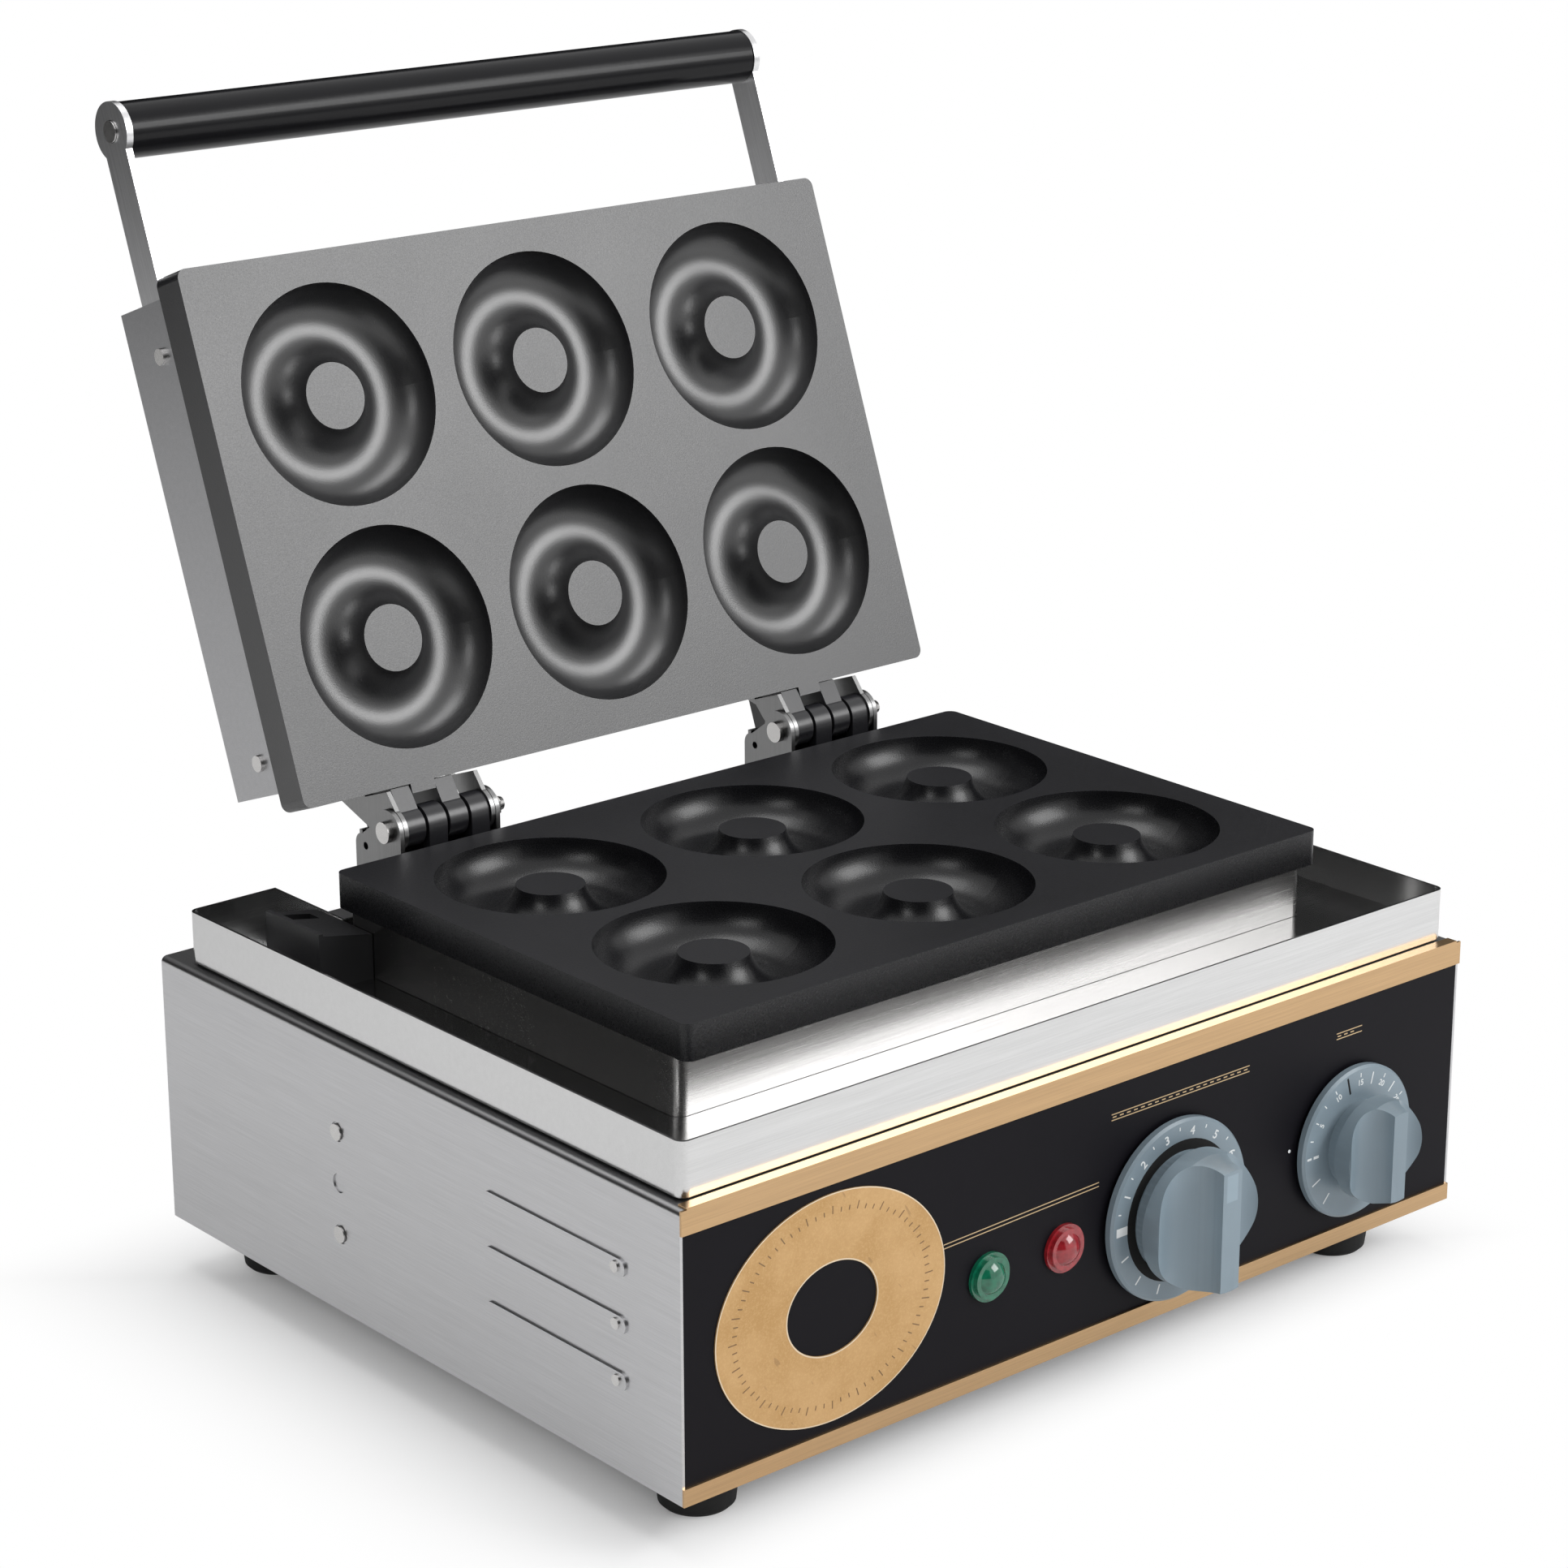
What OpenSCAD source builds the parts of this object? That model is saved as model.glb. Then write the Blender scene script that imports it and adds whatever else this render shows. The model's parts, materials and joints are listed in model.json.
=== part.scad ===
// Six-ring donut maker: a heated lower plate in a stainless casing, and a hinged
// lid that carries the upper plate. All sizes are in millimetres. The model stands
// on z = 0 with its front towards -Y and its lid open.

/* [Casing] */
// Width of the casing across the front
casing_w = 410; // [396:1:450]
// Depth of the casing from the front trim to the back panel
casing_d = 332; // [324:1:370]
// Height of the casing without its feet
casing_h = 114; // [108:1:130]
// Sheet thickness of the casing and its panels
casing_t = 1.2; // [0.8:0.1:1.6]
// Radius of the casing's two bent top edges
bend_r = 2.5; // [2:0.1:4]
// Width of the lips turned in under the casing
lip_w = 12; // [8:1:14]

/* [Casing sides] */
// Length of each pressed louvre
louvre_l = 84; // [60:1:110]
// Height of each pressed louvre
louvre_h = 7; // [5:0.5:10]
// How far a louvre stands out of the side
louvre_out = 0.9; // [0.6:0.1:1.5]
// Distance between louvre centre lines
louvre_pitch = 22.2; // [16:0.2:26]
// Height of the middle louvre above the table
louvre_z = 81; // [73:1:87]
// Front end of the louvres behind the casing's front
louvre_front = 31; // [26:1:45]
// Rivets of the front panel's flanges behind the casing's front
rivet_back = 36.5; // [33:0.5:42]
// Side screws behind the casing's front
side_screw_back = 210; // [190:1:225]
// Distance between the two side screws of one side
side_screw_pitch = 43; // [30:1:46]
// Height of the side screws' middle above the table
side_screw_z = 77; // [73:1:81]
// Radius of the dimple around a side screw
dimple_r = 4; // [3.6:0.1:5]
// Depth of that dimple
dimple_depth = 0.6; // [0.3:0.1:0.7]
// Width of the cross brace between the sides, front to back
brace_w = 18; // [14:1:30]
// Height of the cross brace
brace_h = 62; // [56:1:70]

/* [Feet] */
// Height of a foot below the casing
foot_h = 22; // [16:1:30]
// Radius of a foot at its top
foot_r_top = 17; // [15:0.5:20]
// Radius of a foot at its bottom
foot_r_bottom = 14.5; // [12:0.5:16.5]
// Foot centre from the casing's side
foot_inset_x = 33.5; // [31:0.5:60]
// Front foot's centre from the casing's front
foot_inset_front = 34; // [24:1:60]
// Back foot's centre from the casing's back
foot_inset_back = 26; // [24:1:60]

/* [Front] */
// Thickness of the trim strips
trim_t = 1; // [0.6:0.1:1.5]
// Height of the upper trim strip
trim_top_h = 9.5; // [6:0.5:12]
// Height of the lower trim strip
trim_bottom_h = 7; // [5:0.5:10]
// Depth of the front panel's side flanges
flange_l = 44; // [42:1:60]
// Width of the oval badge plate
badge_w = 110; // [80:1:116]
// Height of the oval badge plate
badge_h = 90; // [70:1:92]
// Width of the badge plate's opening
badge_hole_w = 43; // [30:1:60]
// Height of the badge plate's opening
badge_hole_h = 36; // [24:1:50]
// Thickness of the badge plate
badge_t = 0.5; // [0.3:0.1:1]
// Badge centre from the middle of the casing
badge_x = -135; // [-145:1:-125]
// Height of the lamps' and dials' centres above the table
control_z = 66.5; // [63:0.5:69]
// Green lamp from the middle of the casing
green_x = -57.5; // [-65:0.5:-50]
// Red lamp from the middle of the casing
red_x = -18.5; // [-26:0.5:-12]
// Radius of a lamp lens's flange
lamp_r = 9.8; // [9.5:0.1:12]
// Radius of a lamp holder behind the panel
lamp_body_r = 7.8; // [6:0.1:8.4]

/* [Dials and knobs] */
// Thermostat from the middle of the casing
thermo_x = 40; // [36:0.5:50]
// Timer from the middle of the casing
timer_x = 142.5; // [135:0.5:150]
// Radius of the thermostat's dial
thermo_dial_r = 37.4; // [34:0.1:40]
// Radius of the thermostat's knob
thermo_knob_r = 27.6; // [24:0.1:30]
// Radius of the timer's dial
timer_dial_r = 32.2; // [28:0.1:36]
// Radius of the timer's knob
timer_knob_r = 21.5; // [19:0.1:25]
// Thickness of a dial
dial_t = 3.5; // [2.5:0.1:5]
// Running gap between a dial and the face of the trim strips
dial_gap = 0.5; // [0.3:0.1:1.5]
// Height of a knob's neck, which lifts it off its dial
neck_h = 6.5; // [4:0.5:8]
// How far a neck is set back from its knob's rim
neck_in = 3.6; // [2:0.1:5]
// Height of the round skirt above the neck
skirt_h = 8; // [6:0.5:9]
// Height of the thermostat's knob above its dial
thermo_knob_h = 27; // [24:0.5:32]
// Height of the timer's knob above its dial
timer_knob_h = 22; // [21:0.5:28]
// Width of the thermostat knob's grip
thermo_grip_w = 10; // [8:0.5:12]
// Width of the timer knob's grip
timer_grip_w = 8; // [7:0.5:10]
// Roundness of the finger hollows beside a grip, 1 being a half circle
hollow_round = 1.07; // [1.03:0.01:1.4]
// How much a grip's two ends lean in towards its top
grip_lean = 2.5; // [1:0.5:4]
// Radius of the thermostat's and timer's shafts
shaft_r = 3; // [2.5:0.1:4]
// Radial running clearance of a shaft in its bush
shaft_fit = 0.05; // [0.02:0.01:0.09]

/* [Drip tray] */
// Tray wall from the casing's side
tray_side = 4.8; // [3:0.1:8]
// Tray wall from the casing's front
tray_front = 5.8; // [5.2:0.1:9]
// Tray wall from the casing's back
tray_back = 14.3; // [10:0.1:20]
// Top of the tray wall above the casing
tray_up = 22.5; // [18:0.5:28]
// Upper side of the tray floor above the casing
tray_floor_up = 7.2; // [4:0.1:10]
// Sheet thickness of the tray
tray_t = 1; // [0.8:0.1:1.5]
// Outer radius of the tray's upright corners
tray_r = 4; // [3:0.5:8]
// Width of the tray's two rear arms
tray_arm_w = 41.7; // [39:0.1:46]
// Thickness of the seal under the tray
seal_t = 1.2; // [0.8:0.1:2]
// How far the seal is set back from the tray's face
seal_inset = 1.2; // [0.8:0.1:2]
// Width of the seal
seal_w = 3; // [2:0.5:5]

/* [Baking plates] */
// Width of both plates
plate_w = 331.2; // [326:0.1:336]
// Depth of both plates
plate_d = 218.8; // [214:0.1:222]
// Radius of the plates' upright corners
plate_r = 4; // [3:0.5:8]
// Lower plate's front edge behind the casing's front
plate_front = 44.6; // [40:0.1:48]
// Thickness of the lower plate at its edge
lower_t = 14.5; // [13:0.5:16]
// Thickness of the upper plate at its edge
upper_t = 17; // [15:0.5:18]
// Metal between the outer hollows and the plates' side edges
edge_x = 15.8; // [12:0.1:18]
// Metal between the hollows and the plates' front and back edges
edge_y = 13.35; // [12.5:0.05:14.5]
// Centre-line radius of a ring hollow
ring_r = 29.6; // [28:0.1:30]
// Radius of a ring hollow's round section
tube_r = 16.2; // [15.5:0.1:16.5]
// How far a ring's middle post stays below the plate's face
post_drop = 3.5; // [2:0.5:6]
// Metal under a ring hollow
hollow_wall = 3; // [2.5:0.1:3.5]
// Gap between the two plates with the lid closed
plate_gap = 0.4; // [0.3:0.1:1]

/* [Heater housing] */
// Height of the housing between the casing and the lower plate
housing_h = 31; // [29:0.5:36]
// Housing wall behind the plate's front edge, and the same at the back
housing_inset = 6.7; // [6:0.1:7.2]
// Housing wall inside the plate's side edge
housing_side = 0.8; // [0.4:0.1:2]
// Sheet thickness of the housing
housing_t = 1.2; // [0.8:0.1:1.3]
// Outer radius of the housing's upright corners
housing_r = 5; // [3:0.5:8]
// Radius of the heating elements
element_r = 3.2; // [3:0.1:3.4]
// Inner bend radius line of the elements' corners
element_bend = 14; // [12:0.5:18]
// Distance between an element's two upright ends
element_ends = 20; // [16:1:30]
// Height of the space left for the elements
element_space = 8.2; // [8:0.1:8.6]
// Radius of the thermostat's bulb
bulb_r = 3.8; // [3:0.1:3.8]
// Room between the bulb's upright tube and the stud beside it
bulb_room = 4.5; // [2:0.5:12]
// Radius of the plates' fixing studs
stud_r = 2.5; // [2:0.1:3]

/* [Lead box and gland] */
// Width of the lead box in the tray
lead_box_w = 25; // [20:1:28]
// Length of the lead box
lead_box_l = 37; // [30:1:44]
// Height of the lead box on its outer side
lead_box_h = 24; // [18:1:28]
// How much lower its inner side is
lead_box_fall = 5.5; // [2:0.5:8]
// Wall of the lead box
lead_box_t = 2; // [1.5:0.1:3]
// Lead gland from the casing's right side
gland_side = 65; // [45:1:95]
// Height of the lead gland above the table
gland_z = 52; // [45:1:77]
// Radius of the gland's opening for a mains lead
gland_bore_r = 3.7; // [3:0.1:4]
// Thickness of the gland's hexagon flange
gland_flange = 5; // [4:0.5:8]
// Length of the gland's dome nut
gland_nut_l = 14; // [10:1:20]

/* [Lid] */
// Angle that the lid opens from closed
lid_open = 110.4; // [95:0.1:115]
// Cover's front and back walls from the upper plate's edges
cover_inset = 8.4; // [6:0.1:11]
// Height of the cover above the upper plate
cover_h = 32; // [28:0.5:38]
// Thickness of the handle's arms
arm_t = 3; // [2:0.5:3.5]
// Width of the handle's arms
arm_w = 16; // [12:0.5:20]
// Radius of an arm's round head
arm_head_r = 12; // [11.6:0.1:14]
// Handle's centre line in front of the upper plate
handle_reach = 61.6; // [50:0.1:75]
// Radius of the handle's grip
grip_r = 11.5; // [9:0.1:11.6]
// Radius of the rod through the grip
rod_r = 4.4; // [3:0.1:5]

/* [Hinges] */
// Hinge from the middle of the casing
hinge_x = 103.5; // [92:0.5:112]
// Hinge axis behind the plates' back edge
hinge_back = 16.6; // [15:0.1:19]
// Hinge axis above the lower plate's face
hinge_up = 3.9; // [3:0.1:6]
// Radius of the hinge knuckles
knuckle_r = 8; // [7:0.1:8.6]
// Length of one knuckle
knuckle_l = 9; // [8:0.5:10]
// Gap between two knuckles
knuckle_gap = 1.6; // [0.8:0.1:2]
// Radius of the hinge bolt
bolt_r = 3; // [2.5:0.1:3.5]
// Radial clearance of the bolt in the knuckles
bolt_fit = 0.05; // [0.02:0.01:0.09]
// Thickness of the steel hinge brackets
bracket_t = 2; // [1.5:0.1:2.5]
// Gap between a fixed and a moving bracket cheek
cheek_gap = 0.3; // [0.2:0.1:0.6]
// Gap left between the open lid and its stop
stop_gap = 0.3; // [0.2:0.1:0.6]

/* [Hidden] */
$fn = 64;

// clearances between pieces that are joined or that pass through each other
hole_fit = 0.2;
close_fit = 0.05;
slip = 0.3;
// length by which cuts run past a face
cut = 1;

// levels
casing_z = foot_h;
top_z = foot_h + casing_h;
plate_under_z = top_z + housing_h;
parting_z = plate_under_z + lower_t;
upper_face_z = parting_z + plate_gap;
upper_back_z = upper_face_z + upper_t;
cover_top_z = upper_back_z + cover_h;
base_z = casing_z + casing_t;
base_top_z = base_z + casing_t;

// places front to back, with the origin under the middle of the whole plan, lid open
lid_reach = plate_d + handle_reach + hinge_back;
lid_rise = plate_gap + upper_t + slip + arm_w / 2 - hinge_up;
handle_back = arm_head_r + lid_rise * sin(lid_open) - lid_reach * cos(lid_open);
front_reach = dial_gap + dial_t + max(thermo_knob_h, timer_knob_h);
back_reach = max(plate_front + plate_d + hinge_back + handle_back,
    casing_d + gland_flange + gland_nut_l);
front_y = (front_reach - back_reach) / 2;
casing_y = front_y + casing_d / 2;
back_y = front_y + casing_d;
panel_y = front_y + trim_t;
plate_y = front_y + plate_front + plate_d / 2;
plate_back_y = plate_y + plate_d / 2;
hinge_y = plate_back_y + hinge_back;
hinge_z = parting_z + hinge_up;
inner_x = casing_w / 2 - casing_t;
side_screw_y = front_y + side_screw_back;

// rings
ring_out = ring_r + tube_r;
pitch_x = plate_w / 2 - edge_x - ring_out;
pitch_y = plate_d - 2 * (edge_y + ring_out);

// heater housing
housing_w = plate_w - 2 * housing_side;
housing_d = plate_d - 2 * housing_inset;
element_gap = 0.5;
element_side = 4;
element_y = tenth(pitch_y / 2 + sqrt(pow(tube_r + hollow_wall, 2) - pow(lower_t, 2)) + ring_r
    + element_r + element_gap);
element_x = tenth(pitch_x + element_y - pitch_y / 2 + element_side);
element_drop = element_r + 0.1;
terminal_bend = 8;
terminal_r = 1.6;
terminal_l = 8;
block_back = 75;
block_w = 56;
block_d = 20;
block_h = 16;
block_ways = 5;
way_pitch = 10;
way_w = 8;
way_z = 6;
lower_leg = 42;
upper_leg = 16;
insulation_h = housing_h - element_space;
stud_x = pitch_x / 2;
stud_depth = 6;
stud_nut_r = 4.4;
stud_nut_h = 4;
capillary_r = 1;
capillary_bend = 6;
capillary_drop = 35;
capillary_z = top_z - capillary_drop;
bulb_leg_x = stud_x - stud_r - capillary_r - bulb_room;
bulb_end_x = bulb_leg_x - capillary_bend;
bulb_gap = 0.1;
// depth of the bulb's axis under the baking face, clear of the plate and of its hollows
bulb_depth = max(lower_t + bulb_gap + bulb_r,
    sqrt(max(0, pow(tube_r + hollow_wall + bulb_r + slip, 2) - pow(pitch_y / 2 - ring_r, 2))));

// drip tray
tray_x = casing_w / 2 - tray_side;
tray_y0 = front_y + tray_front;
tray_y1 = back_y - tray_back;
notch_x = tray_x - tray_arm_w;
notch_back = 12;
notch_y = plate_y + housing_d / 2 + notch_back;
tray_z0 = top_z + seal_t;

// lamps, thermostat and timer
lamp_step = 1.5;
lamp_dome_r = lamp_r - 3.4;
lamp_dome_h = 3;
lamp_back = 24;
bush_r = 5;
thermo_body = [40, 30, 36];
timer_body_size = [48, 34, 44];
shaft_in = 14;
shaft_tip = 16;
dial_y = front_y - dial_gap - dial_t;
dial_edge = 1;

// fasteners
screw_r = 2;
screw_head_r = 3.4;
screw_head_h = 1.6;
side_screw_l = 8;
rivet_r = 1.5;
rivet_head_r = 2.2;
foot_screw_r = 2.5;
foot_head_r = 5;
foot_recess = 6;

// lead box and gland
lead_box_x = -housing_w / 2 - slip - lead_box_w;
lead_box_lap = 17;
lead_box_y = plate_y + housing_d / 2 - lead_box_lap;
lead_box_z = top_z + tray_floor_up;
gland_x = casing_w / 2 - gland_side;
gland_r = 9;
gland_flat_r = 13;
gland_in = 10;

// hinge, measured from its axis
half_barrel = 2 * knuckle_l + 1.5 * knuckle_gap;
lid_cheek_x = half_barrel + 0.2;
cheek_x = lid_cheek_x + bracket_t + cheek_gap;
cheek_r = knuckle_r + 1;
bracket_foot = top_z - hinge_z;
cover_back = plate_back_y - cover_inset - hinge_y;
lug_front = slip - hinge_back;
plate_tab = 4;
lug_face = cover_back + bracket_t;
lug_under = plate_gap - hinge_up + 1;
lug_over = upper_back_z + slip - hinge_z;
lug_top = lug_over + 7;
lug_heel = 2;
web_top = -5;
web_s = (lug_top * cos(lid_open) - web_top) / sin(lid_open);
web_y = web_s * cos(lid_open) + lug_top * sin(lid_open) + stop_gap;
bracket_back = web_y + bracket_t;
bracket_round = 5;
bolt_head_r = 4.5;
bolt_head_h = 2.6;
nut_r = 5;
nut_h = 4;
nut_dome = 3;

// handle
cover_x = plate_w / 2;
arm_x = cover_x - casing_t - arm_t;
arm_z = upper_back_z + slip + arm_w / 2;
handle_y = plate_y - plate_d / 2 - handle_reach;
arm_end_y = plate_back_y - cover_inset - casing_t - 5;
bracket_top = upper_back_z + cover_h - 5 - hinge_z;
lid_screw_x = [-12, 12];
lid_screw_z = hinge_z + (lug_top + bracket_top) / 2;
arm_screw_front = 30;
arm_screw_back = 22;
arm_screw_y = [plate_y - plate_d / 2 + arm_screw_front, plate_back_y - arm_screw_back];

// A length taken up to the next tenth of a millimetre, as tube is bent
function tenth(v) = ceil(v * 10) / 10;

// A rounded rectangle with true arcs, centred on the origin
module rounded_plan(w, d, r) {
    square([w - 2 * r, d], center = true);
    square([w, d - 2 * r], center = true);
    for (sx = [-1, 1], sy = [-1, 1])
        translate([sx * (w / 2 - r), sy * (d / 2 - r)]) circle(r);
}

// An upright rounded tube between two heights
module rounded_tube(w, d, r, t, z0, z1) {
    translate([0, 0, z0]) difference() {
        linear_extrude(z1 - z0) rounded_plan(w, d, r);
        translate([0, 0, -cut]) linear_extrude(z1 - z0 + 2 * cut)
            rounded_plan(w - 2 * t, d - 2 * t, r - t);
    }
}

// A cylinder along X from x0 to x1, at y and z
module rod_x(r, x0, x1, y = 0, z = 0) {
    translate([x0, y, z]) rotate([0, 90, 0]) cylinder(h = x1 - x0, r = r);
}

// A cylinder along Y from y0 to y1, at x and z
module rod_y(r, y0, y1, x = 0, z = 0) {
    translate([x, y1, z]) rotate([90, 0, 0]) cylinder(h = y1 - y0, r = r);
}

// A flat shape drawn in Y and Z, given thickness along X
module plate_x(x0, x1) {
    translate([x0, 0, 0]) rotate([90, 0, 90]) linear_extrude(x1 - x0) children();
}

// A flat shape drawn in X and Z, given thickness along Y
module plate_yz(y0, y1) {
    translate([0, y1, 0]) rotate([90, 0, 0]) linear_extrude(y1 - y0) children();
}

// A quarter bend from +X to -Z, starting at the origin
module bend_down(r, bend) {
    translate([0, 0, -bend]) rotate([90, 0, 0]) rotate_extrude(angle = 90)
        translate([bend, 0]) circle(r);
}

// Puts closed-lid pieces where the open lid is
module open_lid() {
    translate([0, hinge_y, hinge_z]) rotate([-lid_open, 0, 0])
        translate([0, -hinge_y, -hinge_z]) children();
}

module both_sides() {
    children();
    mirror([1, 0, 0]) children();
}

// ---------------------------------------------------------------- casing

module casing_outline() {
    w = casing_w / 2;
    translate([-w, 0]) square([casing_w, casing_h - bend_r]);
    translate([-w + bend_r, 0]) square([casing_w - 2 * bend_r, casing_h]);
    for (s = [-1, 1]) translate([s * (w - bend_r), casing_h - bend_r]) circle(bend_r);
}

module casing_inside() {
    w = casing_w / 2 - casing_t;
    r = bend_r - casing_t;
    translate([-w, casing_t]) square([2 * w, casing_h - casing_t - bend_r]);
    translate([-w + r, casing_t]) square([2 * (w - r), casing_h - 2 * casing_t]);
    for (s = [-1, 1]) translate([s * (w - r), casing_h - bend_r]) circle(r);
    translate([-w + lip_w, -cut]) square([2 * (w - lip_w), 2 * cut + casing_t]);
}

module louvre() {
    y0 = front_y + louvre_front + louvre_h / 2;
    x0 = casing_w / 2 - casing_t;
    x1 = casing_w / 2 + louvre_out;
    translate([x0, y0, -louvre_h / 2]) cube([x1 - x0, louvre_l - louvre_h, louvre_h]);
    for (y = [y0, y0 + louvre_l - louvre_h]) rod_x(louvre_h / 2, x0, x1, y);
}

module side_marks() {
    for (i = [-1, 0, 1]) {
        z = side_screw_z + i * side_screw_pitch / 2;
        rod_x(dimple_r, casing_w / 2 - dimple_depth, casing_w / 2 + cut, side_screw_y, z);
        if (i != 0) rod_x(screw_r + hole_fit, inner_x - cut, casing_w / 2 + cut, side_screw_y, z);
    }
    for (i = [-1, 0, 1])
        rod_x(rivet_r + close_fit, inner_x - cut, casing_w / 2 + 2 * cut, front_y + rivet_back,
            louvre_z + i * louvre_pitch);
}

module top_holes() {
    z0 = top_z - casing_t - cut;
    h = casing_t + 2 * cut;
    for (s = [-1, 1]) {
        translate([s * element_ends / 2, plate_y + element_y, z0])
            cylinder(h = h, r = element_r + 1.5);
        translate([s * stud_x, plate_y, z0]) cylinder(h = h, r = stud_r + hole_fit);
        for (p = bracket_screw_places())
            translate([s * hinge_x + p[0], p[1], z0]) cylinder(h = h, r = screw_r + hole_fit);
    }
    translate([bulb_leg_x, plate_y, z0]) cylinder(h = h, r = capillary_r + 1);
}

module casing() {
    color([0.74, 0.74, 0.73]) difference() {
        union() {
            translate([0, back_y, casing_z]) rotate([90, 0, 0])
                linear_extrude(back_y - panel_y) difference() {
                    casing_outline();
                    casing_inside();
                }
            both_sides() for (i = [-1, 0, 1])
                translate([0, 0, louvre_z + i * louvre_pitch]) louvre();
        }
        both_sides() side_marks();
        top_holes();
    }
}

// The upright end of the casing's inside, which a panel fills
module panel_outline() {
    w = inner_x;
    r = bend_r - casing_t;
    translate([-w, base_z]) square([2 * w, casing_h - casing_t - bend_r]);
    translate([-w + r, base_z]) square([2 * (w - r), casing_h - 2 * casing_t]);
    for (s = [-1, 1]) translate([s * (w - r), top_z - bend_r]) circle(r);
}

module base_plate() {
    color([0.62, 0.62, 0.62]) difference() {
        translate([-inner_x, panel_y + casing_t, base_z])
            cube([2 * inner_x, back_y - casing_t - panel_y - casing_t, casing_t]);
        for (p = foot_places())
            translate([p[0], p[1], base_z - cut])
                cylinder(h = casing_t + 2 * cut, r = foot_screw_r + hole_fit);
    }
}

module back_panel() {
    y0 = back_y - casing_t;
    color([0.7, 0.7, 0.7]) difference() {
        plate_yz(y0, back_y) panel_outline();
        rod_y(gland_r + hole_fit, y0 - cut, back_y + cut, gland_x, gland_z);
    }
}

module front_panel() {
    x1 = inner_x;
    color([0.17, 0.17, 0.19]) difference() {
        union() {
            plate_yz(panel_y, panel_y + casing_t) panel_outline();
            both_sides() translate([x1 - casing_t, panel_y, base_top_z])
                cube([casing_t, flange_l, top_z - bend_r - base_top_z]);
        }
        for (x = [thermo_x, timer_x])
            rod_y(bush_r + hole_fit, panel_y - cut, panel_y + 2 * casing_t, x, control_z);
        for (x = [green_x, red_x])
            rod_y(lamp_body_r + hole_fit, panel_y - cut, panel_y + 2 * casing_t, x, control_z);
        both_sides() for (i = [-1, 0, 1])
            rod_x(rivet_r + close_fit, x1 - casing_t - cut, x1 + cut, front_y + rivet_back,
                louvre_z + i * louvre_pitch);
    }
}

module trim_top() {
    leg = tray_front - 1;
    color([0.72, 0.58, 0.4]) union() {
        translate([-casing_w / 2, front_y, top_z - trim_top_h])
            cube([casing_w, trim_t, trim_top_h]);
        translate([-casing_w / 2 + bend_r, front_y, top_z])
            cube([casing_w - 2 * bend_r, leg, 0.8]);
    }
}

module trim_bottom() {
    color([0.72, 0.58, 0.4]) translate([-casing_w / 2, front_y, casing_z])
        cube([casing_w, trim_t, trim_bottom_h]);
}

// an oval outline of even steps
function oval(w, h, n = 96) = [for (i = [0 : n - 1]) [w / 2 * cos(360 * i / n), h / 2 * sin(360 * i / n)]];

module badge_plate() {
    z = (top_z - trim_top_h + casing_z + trim_bottom_h) / 2;
    color([0.85, 0.65, 0.4]) translate([badge_x, panel_y, z]) rotate([90, 0, 0])
        linear_extrude(badge_t) difference() {
            polygon(oval(badge_w, badge_h));
            polygon(oval(badge_hole_w, badge_hole_h));
        }
}

module cross_brace() {
    y0 = side_screw_y - brace_w / 2;
    z0 = side_screw_z - brace_h / 2;
    color([0.6, 0.6, 0.6]) difference() {
        union() {
            translate([-inner_x, y0, z0]) cube([2 * inner_x, casing_t, brace_h]);
            both_sides() translate([inner_x - casing_t, y0, z0]) cube([casing_t, brace_w, brace_h]);
            translate([-inner_x, y0, z0]) cube([2 * inner_x, brace_w, casing_t]);
        }
        both_sides() for (i = [-1, 1])
            rod_x(screw_r + close_fit, inner_x - 2 * casing_t, inner_x + cut, side_screw_y,
                side_screw_z + i * side_screw_pitch / 2);
    }
}

module pan_screw_x(l, head_x) {
    rod_x(screw_r, head_x - l, head_x);
    rod_x(screw_head_r, head_x, head_x + screw_head_h);
}

module side_screws() {
    x = casing_w / 2 - dimple_depth;
    color([0.8, 0.8, 0.8]) both_sides() for (i = [-1, 1])
        translate([0, side_screw_y, side_screw_z + i * side_screw_pitch / 2]) pan_screw_x(side_screw_l, x);
}

module flange_rivets() {
    x = casing_w / 2 + louvre_out;
    color([0.78, 0.78, 0.78]) both_sides() for (i = [-1, 0, 1])
        translate([0, front_y + rivet_back, louvre_z + i * louvre_pitch]) {
            rod_x(rivet_r, inner_x - casing_t, x);
            rod_x(rivet_head_r, x, x + 0.7);
            rod_x(rivet_head_r, inner_x - casing_t - 0.8, inner_x - casing_t);
        }
}

// ------------------------------------------------------------------ feet

function foot_place(sx, sy) = [sx * (casing_w / 2 - foot_inset_x),
    sy < 0 ? front_y + foot_inset_front : back_y - foot_inset_back, 0];
function foot_places() = [for (sx = [-1, 1], sy = [-1, 1]) foot_place(sx, sy)];

module foot(sx, sy) {
    r = 1.5;
    color([0.09, 0.09, 0.09]) translate(foot_place(sx, sy)) difference() {
        rotate_extrude() {
            polygon([[0, 0], [foot_r_bottom - r, 0], [foot_r_bottom, r], [foot_r_top, base_z - 1],
                [foot_r_top, base_z], [0, base_z]]);
        }
        translate([0, 0, -cut]) cylinder(h = base_z + 2 * cut, r = foot_screw_r + hole_fit);
        translate([0, 0, -cut]) cylinder(h = foot_recess + cut, r = foot_head_r + 1);
    }
}

module foot_front_left() { foot(-1, -1); }
module foot_front_right() { foot(1, -1); }
module foot_back_left() { foot(-1, 1); }
module foot_back_right() { foot(1, 1); }

module foot_screws() {
    color([0.7, 0.7, 0.7]) for (p = foot_places()) translate(p) {
        translate([0, 0, foot_recess]) cylinder(h = base_top_z + 5 - foot_recess, r = foot_screw_r);
        translate([0, 0, foot_recess - 3]) cylinder(h = 3, r = foot_head_r);
        translate([0, 0, base_top_z]) cylinder(h = 4, r = foot_head_r, $fn = 6);
    }
}

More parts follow.
